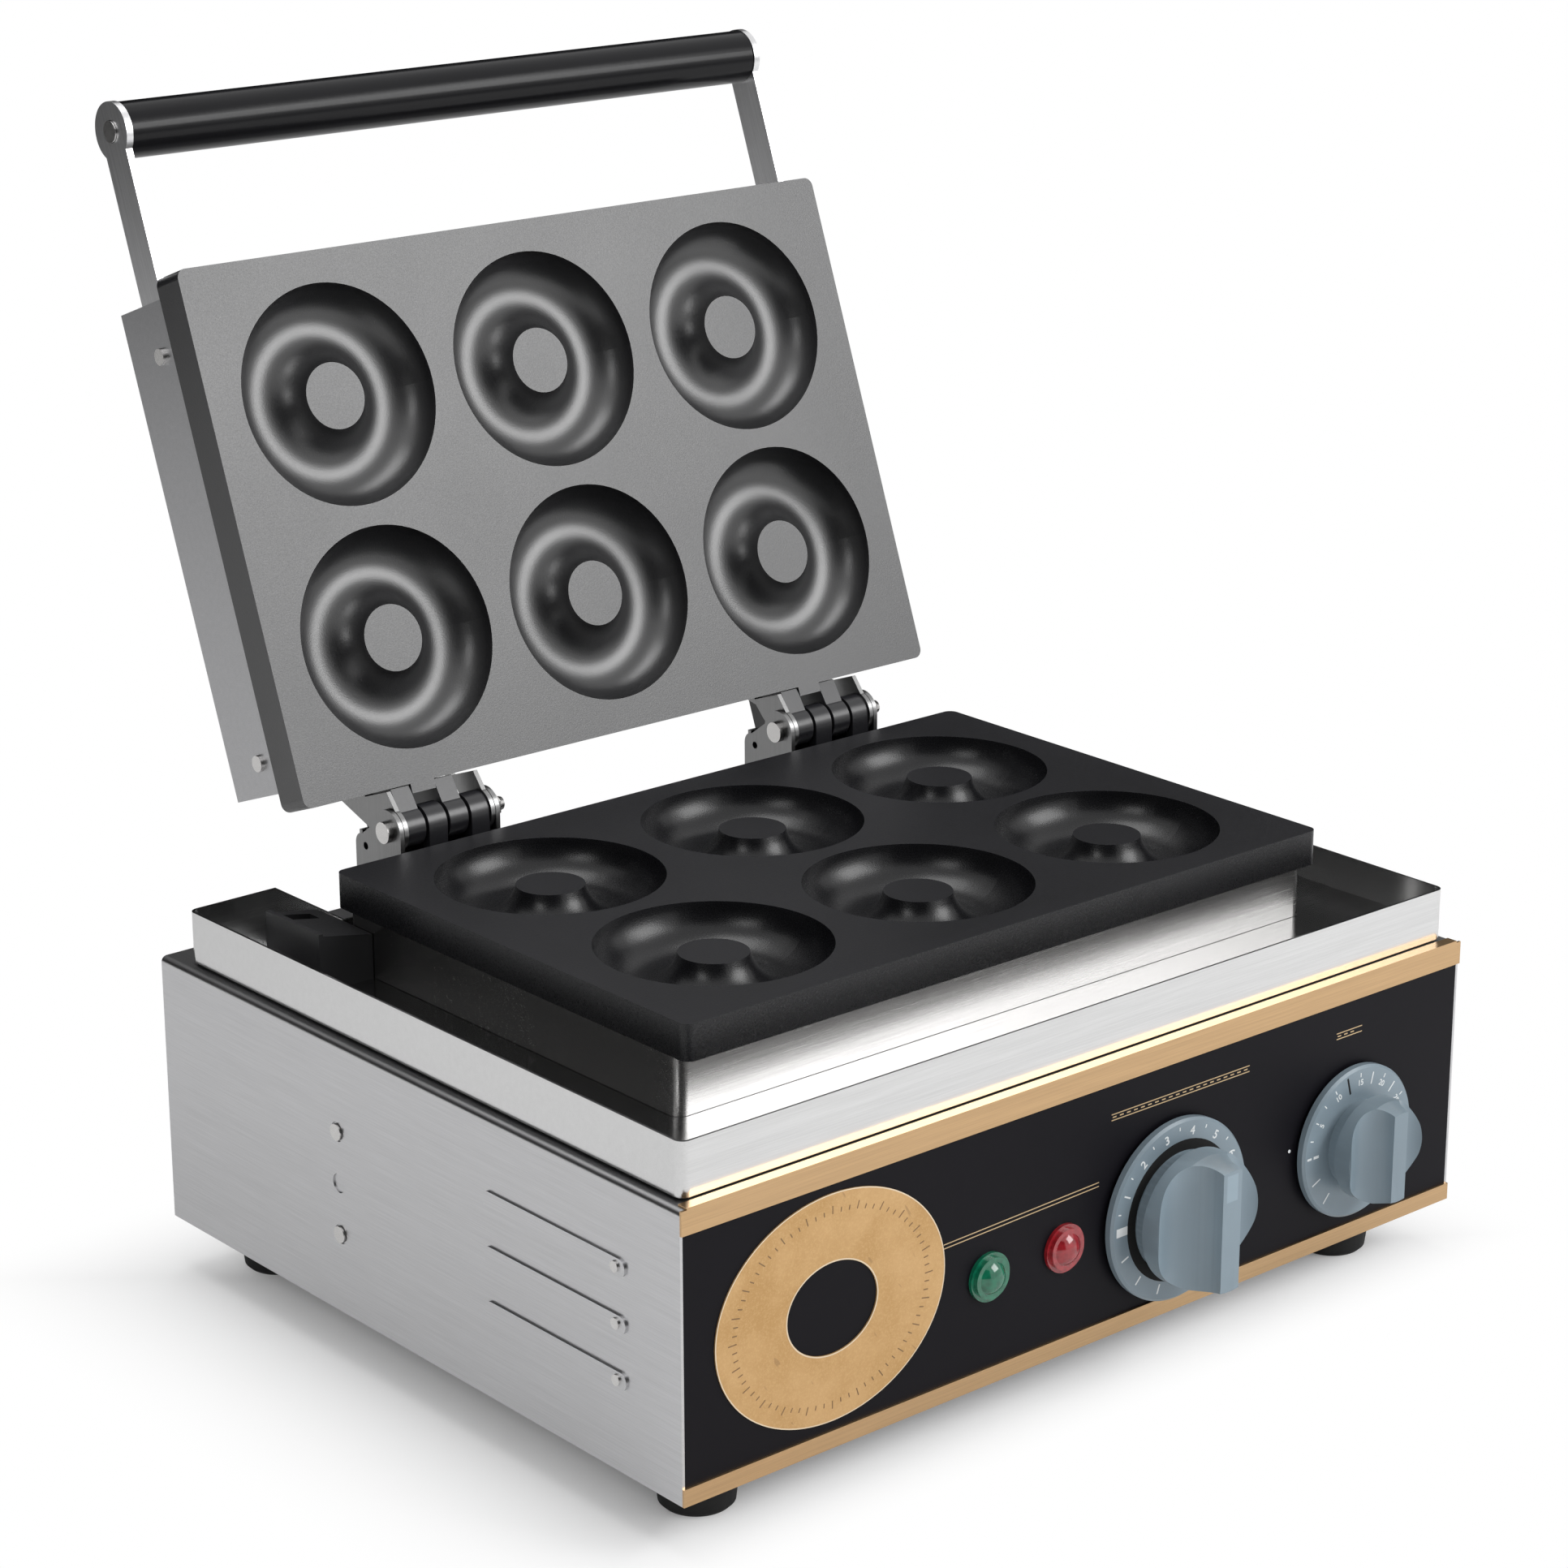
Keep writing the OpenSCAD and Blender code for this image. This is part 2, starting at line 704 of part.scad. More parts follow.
// ------------------------------------------------------------- drip tray

// The tray's plan, set in from its outer face; the rear notch clears the hinges
module tray_plan(inset) {
    w = 2 * (tray_x - inset);
    d = tray_y1 - tray_y0 - 2 * inset;
    difference() {
        translate([0, (tray_y0 + tray_y1) / 2]) rounded_plan(w, d, tray_r - inset * 0.75);
        translate([-notch_x - inset, notch_y - inset])
            square([2 * (notch_x + inset), tray_y1 - notch_y + 2 * inset]);
    }
}

module drip_tray() {
    h = top_z + tray_up - tray_z0;
    floor_z = top_z + tray_floor_up;
    color([0.78, 0.78, 0.77]) {
        translate([0, 0, tray_z0]) difference() {
            linear_extrude(h) tray_plan(0);
            translate([0, 0, -cut]) linear_extrude(h + 2 * cut) tray_plan(tray_t);
        }
        translate([0, 0, floor_z - tray_t]) linear_extrude(tray_t) difference() {
            tray_plan(tray_t / 2);
            translate([0, plate_y])
                rounded_plan(housing_w + 2 * slip, housing_d + 2 * slip, housing_r + slip);
        }
    }
}

module tray_seal() {
    color([0.05, 0.05, 0.05]) translate([0, 0, top_z]) linear_extrude(seal_t) difference() {
        tray_plan(seal_inset);
        tray_plan(seal_inset + seal_w);
    }
}

// --------------------------------------------------------- baking plates

module ring_grid() {
    for (i = [-1, 0, 1], j = [-0.5, 0.5]) translate([i * pitch_x, j * pitch_y, 0]) children();
}

module ring_hollow() {
    rotate_extrude() translate([ring_r, 0]) circle(tube_r);
    translate([0, 0, -post_drop]) cylinder(h = post_drop + cut, r = ring_r);
}

// One plate with its baking face up, at z = 0
module baking_plate(t) {
    difference() {
        union() {
            translate([0, 0, -t]) linear_extrude(t) rounded_plan(plate_w, plate_d, plate_r);
            intersection() {
                ring_grid() rotate_extrude() translate([ring_r, 0]) circle(tube_r + hollow_wall);
                translate([-plate_w / 2, -plate_d / 2, -t - tube_r])
                    cube([plate_w, plate_d, t + tube_r - 2]);
            }
        }
        ring_grid() ring_hollow();
        for (s = [-1, 1]) translate([s * stud_x, 0, -t - cut])
            cylinder(h = stud_depth + cut, r = stud_r + close_fit);
    }
}

module lower_plate() {
    color([0.1, 0.1, 0.11]) translate([0, plate_y, parting_z]) baking_plate(lower_t);
}

module heater_housing() {
    color([0.6, 0.6, 0.6]) translate([0, plate_y, 0])
        rounded_tube(housing_w, housing_d, housing_r, housing_t, top_z, plate_under_z);
}

// A heating element in the plane z = 0 whose two ends turn down by leg
module element(leg) {
    x0 = element_ends / 2 + terminal_bend;
    bx = element_x - element_bend;
    by = element_y - element_bend;
    rod_x(element_r, -bx, bx, -element_y);
    for (s = [-1, 1]) {
        rod_y(element_r, -by, by, s * element_x);
        rod_x(element_r, s > 0 ? x0 : -bx, s > 0 ? bx : -x0, element_y);
    }
    for (sx = [0, 1], sy = [0, 1]) mirror([sx, 0, 0]) mirror([0, sy, 0])
        translate([bx, by, 0]) rotate_extrude(angle = 90) translate([element_bend, 0]) circle(element_r);
    for (s = [0, 1]) mirror([s, 0, 0]) translate([x0, element_y, 0]) mirror([1, 0, 0]) {
        bend_down(element_r, terminal_bend);
        translate([terminal_bend, 0, -leg]) cylinder(h = leg - terminal_bend, r = element_r);
        translate([terminal_bend, 0, -leg - terminal_l]) cylinder(h = terminal_l, r = terminal_r);
    }
}

module lower_element() {
    color([0.35, 0.33, 0.3]) translate([0, plate_y, plate_under_z - element_drop])
        element(lower_leg);
}

// The thermostat's bulb lies under the plate and its capillary runs to the thermostat
module thermostat_bulb() {
    z = parting_z - bulb_depth;
    x = bulb_end_x;
    leg_x = bulb_leg_x;
    end_y = panel_y + casing_t + thermo_body[1] / 2;
    end_z = control_z + thermo_body[2] / 2;
    b = capillary_bend;
    color([0.72, 0.45, 0.3]) {
        rod_x(bulb_r, -x, x, plate_y, z);
        translate([x, plate_y, z]) bend_down(capillary_r, b);
        translate([leg_x, plate_y, capillary_z + b])
            cylinder(h = z - b - capillary_z - b, r = capillary_r);
        translate([leg_x, plate_y - b, capillary_z]) rotate([90, 0, 0])
            cylinder(h = plate_y - end_y - 2 * b, r = capillary_r);
        translate([leg_x, plate_y - b, capillary_z + b]) rotate([0, 90, 0]) rotate_extrude(angle = 90)
            translate([b, 0]) circle(capillary_r);
        translate([leg_x, end_y + b, capillary_z - b]) rotate([0, -90, 0]) mirror([0, 1, 0])
            rotate_extrude(angle = 90) translate([b, 0]) circle(capillary_r);
        translate([leg_x, end_y, end_z]) cylinder(h = capillary_z - b - end_z, r = capillary_r);
    }
}

// Insulation on z = 0 with room for the element's ends and the studs
module insulation(w, d, h, bulb) {
    color([0.85, 0.82, 0.72]) difference() {
        linear_extrude(h) rounded_plan(w, d, housing_r);
        for (s = [-1, 1]) {
            translate([s * element_ends / 2, element_y, -cut])
                cylinder(h = h + 2 * cut, r = element_r + slip);
            translate([s * stud_x, 0, -cut]) cylinder(h = h + 2 * cut, r = stud_r + slip);
        }
        both_sides() translate([element_ends / 2, element_y - element_r - slip, h - terminal_bend / 2])
            cube([terminal_bend, 2 * (element_r + slip), terminal_bend]);
        if (bulb) {
            groove_w = 2 * (bulb_r + slip);
            groove_z = parting_z - bulb_depth - bulb_r - slip - top_z;
            translate([bulb_leg_x, 0, -cut]) cylinder(h = h + 2 * cut, r = capillary_r + slip);
            translate([-bulb_end_x - slip, -groove_w / 2, groove_z])
                cube([bulb_leg_x + bulb_end_x + 2 * slip, groove_w, housing_h]);
        }
    }
}

module lower_insulation() {
    w = housing_w - 2 * housing_t - 2 * slip;
    d = housing_d - 2 * housing_t - 2 * slip;
    translate([0, plate_y, top_z]) insulation(w, d, insulation_h, true);
}

// A stud from z = 0 down to its nut
module stud(l) {
    translate([0, 0, -l]) cylinder(h = l + stud_depth, r = stud_r);
}

module lower_studs() {
    z = plate_under_z;
    color([0.7, 0.7, 0.7]) for (s = [-1, 1]) translate([s * stud_x, plate_y, z]) {
        stud(housing_h + casing_t + stud_nut_h + 2);
        translate([0, 0, -housing_h - casing_t - stud_nut_h])
            cylinder(h = stud_nut_h, r = stud_nut_r, $fn = 6);
    }
}

// ------------------------------------------------- lead box, gland, wiring

module lead_box() {
    t = lead_box_t;
    color([0.06, 0.06, 0.07]) translate([lead_box_x, lead_box_y, lead_box_z]) difference() {
        plate_yz(0, lead_box_l)
            polygon([[0, 0], [lead_box_w, 0], [lead_box_w, lead_box_h - lead_box_fall],
                [t, lead_box_h - 1], [t, lead_box_h], [0, lead_box_h]]);
        plate_yz(t, lead_box_l - t)
            polygon([[t, -cut], [lead_box_w - t, -cut],
                [lead_box_w - t, lead_box_h - lead_box_fall - t], [t, lead_box_h - 1 - t]]);
        translate([t + 3, lead_box_l - 12, lead_box_h / 2]) cube([lead_box_w / 2, 7, lead_box_h]);
    }
}

module gland_body() {
    y0 = back_y - casing_t - gland_in;
    y1 = back_y + gland_flange;
    color([0.1, 0.1, 0.1]) difference() {
        union() {
            rod_y(gland_r, y0, y1, gland_x, gland_z);
            translate([gland_x, y1, gland_z]) rotate([90, 0, 0])
                cylinder(h = gland_flange, r = gland_flat_r, $fn = 6);
            translate([gland_x, back_y - casing_t, gland_z]) rotate([90, 0, 0])
                cylinder(h = 4, r = gland_flat_r, $fn = 6);
        }
        rod_y(gland_bore_r + 1, y0 - cut, y1 + cut, gland_x, gland_z);
    }
}

module gland_nut() {
    y0 = back_y + gland_flange;
    color([0.1, 0.1, 0.1]) translate([gland_x, y0, gland_z]) rotate([-90, 0, 0]) difference() {
        union() {
            cylinder(h = gland_nut_l / 2, r = gland_flat_r - 1, $fn = 6);
            cylinder(h = gland_nut_l, r1 = gland_r + 2, r2 = gland_bore_r + 2);
        }
        translate([0, 0, -cut]) cylinder(h = gland_nut_l + 2 * cut, r = gland_bore_r);
    }
}

module terminal_block() {
    x0 = (block_w - (block_ways - 1) * way_pitch - way_w) / 2;
    color([0.9, 0.88, 0.8]) translate([gland_x - block_w / 2, back_y - block_back, base_top_z]) difference() {
        cube([block_w, block_d, block_h]);
        for (i = [0 : block_ways - 1]) translate([x0 + i * way_pitch, -cut, way_z])
            cube([way_w, block_d + 2 * cut, block_h - way_z + cut]);
    }
}

// ------------------------------------------------------ controls and lamps

module control_body(x, size) {
    y0 = panel_y + casing_t;
    difference() {
        union() {
            translate([x - size[0] / 2, y0, control_z - size[2] / 2]) cube([size[0], size[1], size[2]]);
            rod_y(bush_r, panel_y - 0.3, y0 + 1, x, control_z);
        }
        rod_y(shaft_r + shaft_fit, panel_y - cut, y0 + shaft_in + slip, x, control_z);
    }
}

module thermostat_body() { color([0.75, 0.73, 0.68]) control_body(thermo_x, thermo_body); }
module timer_body() { color([0.75, 0.73, 0.68]) control_body(timer_x, timer_body_size); }

module shaft(x) {
    color([0.7, 0.7, 0.72]) rod_y(shaft_r, dial_y - shaft_tip, panel_y + casing_t + shaft_in, x, control_z);
}

module thermostat_shaft() { shaft(thermo_x); }
module timer_shaft() { shaft(timer_x); }

// A dial disc with a bevelled front edge, z towards the front
module dial(x, r) {
    color([0.45, 0.52, 0.56]) translate([x, dial_y + dial_t, control_z]) rotate([90, 0, 0])
        difference() {
            union() {
                cylinder(h = dial_t - dial_edge, r = r);
                translate([0, 0, dial_t - dial_edge]) cylinder(h = dial_edge, r1 = r, r2 = r - dial_edge);
            }
            translate([0, 0, -cut]) cylinder(h = dial_t + 2 * cut, r = shaft_r + close_fit);
        }
}

module thermostat_dial() { dial(thermo_x, thermo_dial_r); }
module timer_dial() { dial(timer_x, timer_dial_r); }

// A knob of radius r and height h above its dial, z towards the front: a neck, a round
// skirt and an upright grip of width w, left standing between two round finger hollows
module knob(x, r, w, h) {
    rim = neck_h + skirt_h;
    low = [r - 1, rim];
    high = [w / 2, h];
    span = norm(high - low);
    hollow_r = hollow_round * span / 2;
    off = sqrt(pow(hollow_r, 2) - pow(span / 2, 2)) / span;
    mid = (low + high) / 2 + off * [h - rim, low[0] - high[0]];
    color([0.43, 0.5, 0.54]) translate([x, dial_y, control_z]) rotate([90, 0, 0]) difference() {
        union() {
            cylinder(h = neck_h + cut, r = r - neck_in);
            translate([0, 0, neck_h]) cylinder(h = skirt_h, r = r);
            translate([0, 0, rim]) cylinder(h = h - rim, r1 = r, r2 = r - grip_lean);
        }
        for (s = [-1, 1]) translate([s * mid[0], r + cut, mid[1]]) rotate([90, 0, 0])
            cylinder(h = 2 * (r + cut), r = hollow_r);
        translate([0, 0, -cut]) cylinder(h = shaft_tip + cut + slip, r = shaft_r + close_fit);
    }
}

module thermostat_knob() { knob(thermo_x, thermo_knob_r, thermo_grip_w, thermo_knob_h); }
module timer_knob() { knob(timer_x, timer_knob_r, timer_grip_w, timer_knob_h); }

// A stepped lens with a low dome
module lens(x, tint) {
    dome = (pow(lamp_dome_r, 2) + pow(lamp_dome_h, 2)) / (2 * lamp_dome_h);
    color(tint) translate([x, panel_y, control_z]) rotate([90, 0, 0]) {
        cylinder(h = lamp_step, r = lamp_r);
        cylinder(h = 2 * lamp_step, r = lamp_r - lamp_step);
        intersection() {
            cylinder(h = 2 * lamp_step + lamp_dome_h + cut, r = lamp_dome_r);
            translate([0, 0, 2 * lamp_step + lamp_dome_h - dome]) sphere(dome);
        }
    }
}

module green_lens() { lens(green_x, [0.05, 0.5, 0.3]); }
module red_lens() { lens(red_x, [0.75, 0.08, 0.1]); }

module lamp_holders() {
    y1 = panel_y + casing_t;
    color([0.15, 0.15, 0.15]) for (x = [green_x, red_x]) {
        rod_y(lamp_body_r, panel_y, panel_y + lamp_back, x, control_z);
        rod_y(lamp_r, y1, y1 + 3, x, control_z);
    }
}

// ---------------------------------------------------------------- hinges

// In the hinge modules y and z are measured from the hinge axis, x from its middle
module at_hinge(side) {
    translate([side * hinge_x, hinge_y, hinge_z]) children();
}

function bracket_screw_places() = [for (x = [-10, 10]) [x, hinge_y + 6]];

module bracket_cheek() {
    difference() {
        union() {
            circle(cheek_r);
            polygon(concat([[0, cheek_r - 1], [-cheek_r, 0], [-cheek_r, bracket_foot],
                [bracket_back, bracket_foot]], [for (a = [0 : 10 : 90])
                [bracket_back - bracket_round * (1 - cos(a)), web_top - bracket_round * (1 - sin(a))]]));
        }
        circle(bolt_r + bolt_fit);
        translate([bracket_back - 7, web_top - 5]) circle(1.6);
    }
}

// Fixed steel bracket: two cheeks, a foot and the back web that stops the lid
module hinge_bracket(side) {
    x1 = cheek_x + bracket_t;
    color([0.6, 0.6, 0.6]) at_hinge(side) difference() {
        union() {
            plate_x(cheek_x, x1) bracket_cheek();
            plate_x(-x1, -cheek_x) bracket_cheek();
            translate([-cheek_x, web_y, bracket_foot])
                cube([2 * cheek_x, bracket_t, web_top - bracket_foot]);
            translate([-x1, -cheek_r, bracket_foot]) cube([2 * x1, cheek_r + bracket_back, bracket_t]);
        }
        for (p = bracket_screw_places())
            translate([p[0], p[1] - hinge_y, bracket_foot - cut])
                cylinder(h = bracket_t + 2 * cut, r = screw_r + hole_fit);
    }
}

module hinge_bracket_left() { hinge_bracket(-1); }
module hinge_bracket_right() { hinge_bracket(1); }

function knuckle_x(i) = -half_barrel + i * (knuckle_l + knuckle_gap);

// Fixed black leaf: knuckles 1 and 3 counted from 0, on two upright straps
module hinge_leaf(side) {
    color([0.08, 0.08, 0.09]) at_hinge(side) for (i = [1, 3])
        plate_x(knuckle_x(i), knuckle_x(i) + knuckle_l) difference() {
            union() {
                circle(knuckle_r);
                translate([-knuckle_r, bracket_foot + bracket_t])
                    square([5, -bracket_foot - bracket_t]);
            }
            circle(bolt_r + bolt_fit);
        }
}

module hinge_leaf_left() { hinge_leaf(-1); }
module hinge_leaf_right() { hinge_leaf(1); }

module hinge_bolts() {
    x1 = cheek_x + bracket_t;
    color([0.75, 0.75, 0.75]) for (side = [-1, 1]) at_hinge(side) {
        rod_x(bolt_r, -x1, x1 + nut_h);
        rod_x(bolt_head_r, -x1 - bolt_head_h, -x1);
    }
}

module hinge_nuts() {
    x1 = cheek_x + bracket_t;
    color([0.75, 0.75, 0.75]) for (side = [-1, 1]) at_hinge(side)
        translate([x1, 0, 0]) rotate([0, 90, 0]) difference() {
            union() {
                cylinder(h = nut_h, r = nut_r, $fn = 6);
                cylinder(h = nut_h + nut_dome, r1 = nut_r - 0.4, r2 = nut_r - 2.2);
            }
            translate([0, 0, -cut]) cylinder(h = nut_h + cut + 0.5, r = bolt_r + close_fit);
        }
}

module bracket_screws() {
    color([0.75, 0.75, 0.75]) for (side = [-1, 1], p = bracket_screw_places())
        translate([side * hinge_x + p[0], p[1], top_z]) {
            translate([0, 0, -casing_t - 4]) cylinder(h = casing_t + 4 + bracket_t, r = screw_r);
            translate([0, 0, bracket_t]) cylinder(h = screw_head_h + 0.4, r = screw_head_r);
        }
}

// ------------------------------------------------------------------- lid

// The upper plate has a short tab between the two lugs of each hinge
module upper_plate() {
    x0 = knuckle_x(0) + knuckle_l + slip;
    x1 = knuckle_x(2) - slip;
    color([0.16, 0.16, 0.17]) open_lid() {
        translate([0, plate_y, upper_face_z]) mirror([0, 0, 1]) baking_plate(upper_t);
        for (side = [-1, 1]) translate([side * hinge_x + x0, plate_back_y - cut, upper_face_z])
            cube([x1 - x0, plate_tab + cut, upper_t]);
    }
}

module upper_element() {
    color([0.35, 0.33, 0.3]) open_lid() translate([0, plate_y, upper_back_z + element_drop])
        mirror([0, 0, 1]) element(upper_leg);
}

module upper_insulation() {
    z = cover_top_z - casing_t;
    open_lid() translate([0, plate_y, z]) mirror([0, 0, 1])
        insulation(2 * (arm_x - slip), plate_d - 2 * (cover_inset + casing_t + slip),
            cover_h - element_space - casing_t, false);
}

module upper_studs() {
    z = upper_back_z;
    color([0.72, 0.72, 0.72]) open_lid() for (s = [-1, 1])
        translate([s * stud_x, plate_y, z]) mirror([0, 0, 1]) {
            stud(cover_h + stud_nut_h + 1);
            translate([0, 0, -cover_h - stud_nut_h]) cylinder(h = stud_nut_h, r = stud_nut_r, $fn = 6);
        }
}

module lid_cover() {
    d = plate_d - 2 * cover_inset;
    t = casing_t;
    color([0.72, 0.72, 0.72]) open_lid() translate([0, plate_y, upper_back_z]) difference() {
        translate([-cover_x, -d / 2, 0]) cube([2 * cover_x, d, cover_h]);
        translate([-cover_x + t, -d / 2 + t, -cut])
            cube([2 * (cover_x - t), d - 2 * t, cover_h - t + cut]);
        both_sides() {
            translate([arm_x - slip, -d / 2 - cut, -cut])
                cube([arm_t + slip, t + 2 * cut, arm_w + 2 * slip + cut]);
            for (y = arm_screw_y)
                rod_x(screw_r + hole_fit, cover_x - 2 * t, cover_x + cut, y - plate_y,
                    arm_z - upper_back_z);
            translate([stud_x, 0, cover_h - 2 * t])
                cylinder(h = 3 * t, r = stud_r + hole_fit);
            for (x = lid_screw_x)
                rod_y(screw_r + close_fit, d / 2 - t - cut, d / 2 + cut, hinge_x + x,
                    lid_screw_z - upper_back_z);
        }
    }
}

// Right-hand arm: a strip inside the cover that ends in a round head
module handle_arm() {
    difference() {
        union() {
            translate([arm_x, handle_y, arm_z - arm_w / 2]) cube([arm_t, arm_end_y - handle_y, arm_w]);
            rod_x(arm_head_r, arm_x, arm_x + arm_t, handle_y, arm_z);
        }
        rod_x(rod_r + hole_fit, arm_x - cut, arm_x + arm_t + cut, handle_y, arm_z);
        for (y = arm_screw_y) rod_x(screw_r + close_fit, arm_x - cut, arm_x + arm_t + cut, y, arm_z);
    }
}

module handle_arm_left() { color([0.55, 0.55, 0.56]) open_lid() mirror([1, 0, 0]) handle_arm(); }
module handle_arm_right() { color([0.55, 0.55, 0.56]) open_lid() handle_arm(); }

module handle_grip() {
    color([0.06, 0.06, 0.06]) open_lid() difference() {
        rod_x(grip_r, -arm_x, arm_x, handle_y, arm_z);
        rod_x(rod_r + hole_fit, -arm_x - cut, arm_x + cut, handle_y, arm_z);
    }
}

module handle_rod() {
    x = arm_x + arm_t + 0.8;
    color([0.7, 0.7, 0.7]) open_lid() rod_x(rod_r, -x, x, handle_y, arm_z);
}

module lid_screws() {
    y1 = hinge_y + lug_face;
    color([0.78, 0.78, 0.78]) open_lid() {
        both_sides() for (y = arm_screw_y)
            translate([0, y, arm_z]) pan_screw_x(casing_t + arm_t, cover_x);
        for (side = [-1, 1], x = lid_screw_x) {
            rod_y(screw_r, y1 - bracket_t - casing_t, y1, side * hinge_x + x, lid_screw_z);
            rod_y(screw_head_r, y1, y1 + screw_head_h, side * hinge_x + x, lid_screw_z);
        }
    }
}

// A hinge's outer cheek is a gusset up to the web's top; its inner one is slimmer
module lid_cheek(outer) {
    difference() {
        union() {
            circle(cheek_r);
            polygon(concat([[0, 1 - cheek_r], [cheek_r - 1, 2]],
                outer ? [[lug_face, bracket_top], [cover_back, bracket_top]]
                    : [[-cheek_r + 2, cheek_r + 2], [lug_front + 3, lug_over], [lug_face + 5, lug_over + 8],
                        [lug_face, lug_over + 16], [cover_back, lug_over + 16]],
                [[cover_back, lug_over], [-hinge_back + 1, lug_over], [-hinge_back + 1, lug_under]]));
        }
        circle(bolt_r + bolt_fit);
    }
}

// Moving steel bracket: a web on the cover's back wall and two cheeks round the barrel
module lid_bracket(side) {
    x1 = lid_cheek_x + bracket_t;
    color([0.62, 0.62, 0.62]) open_lid() difference() {
        at_hinge(side) {
            plate_x(lid_cheek_x, x1) lid_cheek(side > 0);
            plate_x(-x1, -lid_cheek_x) lid_cheek(side < 0);
            translate([-x1, cover_back, lug_over])
                cube([2 * x1, bracket_t, bracket_top - lug_over]);
        }
        for (x = lid_screw_x)
            rod_y(screw_r + close_fit, hinge_y + cover_back - cut, hinge_y + lug_face + cut,
                side * hinge_x + x, lid_screw_z);
    }
}

module lid_bracket_left() { lid_bracket(-1); }
module lid_bracket_right() { lid_bracket(1); }

// Moving black lugs: knuckles 0 and 2 with blocks that reach the lid bracket
module lid_lugs(side) {
    color([0.08, 0.08, 0.09]) open_lid() at_hinge(side) for (i = [0, 2])
        plate_x(knuckle_x(i), knuckle_x(i) + knuckle_l) difference() {
            union() {
                circle(knuckle_r);
                polygon([[2 - knuckle_r / 2, 2 - knuckle_r], [lug_heel, 0], [lug_heel, lug_top],
                    [lug_face, lug_top], [lug_face, lug_over], [lug_front, lug_over],
                    [lug_front, lug_under]]);
            }
            circle(bolt_r + bolt_fit);
        }
}

module lid_lugs_left() { lid_lugs(-1); }
module lid_lugs_right() { lid_lugs(1); }

casing();
base_plate();
back_panel();
front_panel();
trim_top();
trim_bottom();
badge_plate();
cross_brace();
side_screws();
flange_rivets();
foot_front_left();
foot_front_right();
foot_back_left();
foot_back_right();
foot_screws();
drip_tray();
tray_seal();
heater_housing();
lower_plate();
lower_element();
lower_insulation();
lower_studs();
lead_box();
gland_body();
gland_nut();
terminal_block();
thermostat_body();
thermostat_bulb();
timer_body();
green_lens();
red_lens();
lamp_holders();
hinge_bracket_left();
hinge_bracket_right();
hinge_leaf_left();
hinge_leaf_right();
hinge_bolts();
hinge_nuts();
bracket_screws();
upper_plate();
upper_element();
upper_insulation();
upper_studs();
lid_cover();
handle_arm_left();
handle_arm_right();
handle_grip();
handle_rod();
lid_screws();
lid_bracket_left();
lid_bracket_right();
lid_lugs_left();
lid_lugs_right();
thermostat_dial();
thermostat_knob();
thermostat_shaft();
timer_dial();
timer_knob();
timer_shaft();
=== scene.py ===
"""Looks of the six-ring donut maker: finishes for its CAD solids, and the fine pieces on them.

Lengths are in metres, and angles on the dials are in degrees anticlockwise from the right."""
import json
import math

import bmesh
import bpy
from mathutils import Matrix, Vector


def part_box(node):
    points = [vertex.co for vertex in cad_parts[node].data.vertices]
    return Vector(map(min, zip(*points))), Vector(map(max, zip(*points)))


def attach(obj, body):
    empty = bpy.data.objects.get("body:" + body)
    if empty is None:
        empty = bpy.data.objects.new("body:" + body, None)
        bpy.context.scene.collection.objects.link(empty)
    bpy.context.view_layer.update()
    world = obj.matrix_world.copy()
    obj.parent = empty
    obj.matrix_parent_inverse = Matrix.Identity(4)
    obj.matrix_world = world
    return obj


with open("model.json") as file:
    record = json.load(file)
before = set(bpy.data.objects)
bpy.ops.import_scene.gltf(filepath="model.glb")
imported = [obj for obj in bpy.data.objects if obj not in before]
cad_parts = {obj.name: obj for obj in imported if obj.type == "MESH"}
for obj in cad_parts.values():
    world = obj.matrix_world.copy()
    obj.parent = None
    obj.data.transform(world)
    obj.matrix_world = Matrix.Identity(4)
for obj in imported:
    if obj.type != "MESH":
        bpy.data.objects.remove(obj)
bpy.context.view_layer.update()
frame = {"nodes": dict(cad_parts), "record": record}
nodes = frame["nodes"]
scene = bpy.context.scene
MM = 0.001
UP = (0.0, 0.0, 1.0)
NO_TURN = (0.0, 0.0, 0.0)


# ---------------------------------------------------------------- materials

class Value:
    """A value, colour, vector or shader in a material; arithmetic on it adds the nodes."""

    def __init__(self, graph, socket):
        self.graph = graph
        self.socket = socket

    def math(self, operation, *others):
        return self.graph.node("Math", {"operation": operation}, [self, *others])

    def __add__(self, other):
        return self.math("ADD", other)

    def __sub__(self, other):
        return self.math("SUBTRACT", other)

    def __rsub__(self, other):
        return self.graph.node("Math", {"operation": "SUBTRACT"}, [other, self])

    def __mul__(self, other):
        return self.math("MULTIPLY", other)

    __radd__ = __add__
    __rmul__ = __mul__

    def over(self, edge, soft):
        """1 where the value is above edge and 0 below it, with a ramp soft wide on each side."""
        return self.graph.node("MapRange", {"interpolation_type": "SMOOTHSTEP"},
                               {0: self, 1: edge - soft, 2: edge + soft, 3: 0.0, 4: 1.0})

    def ranged(self, low, high):
        """The value's 0 to 1 stretched from low to high."""
        return self.graph.node("MapRange", {}, {0: self, 1: 0.0, 2: 1.0, 3: low, 4: high})


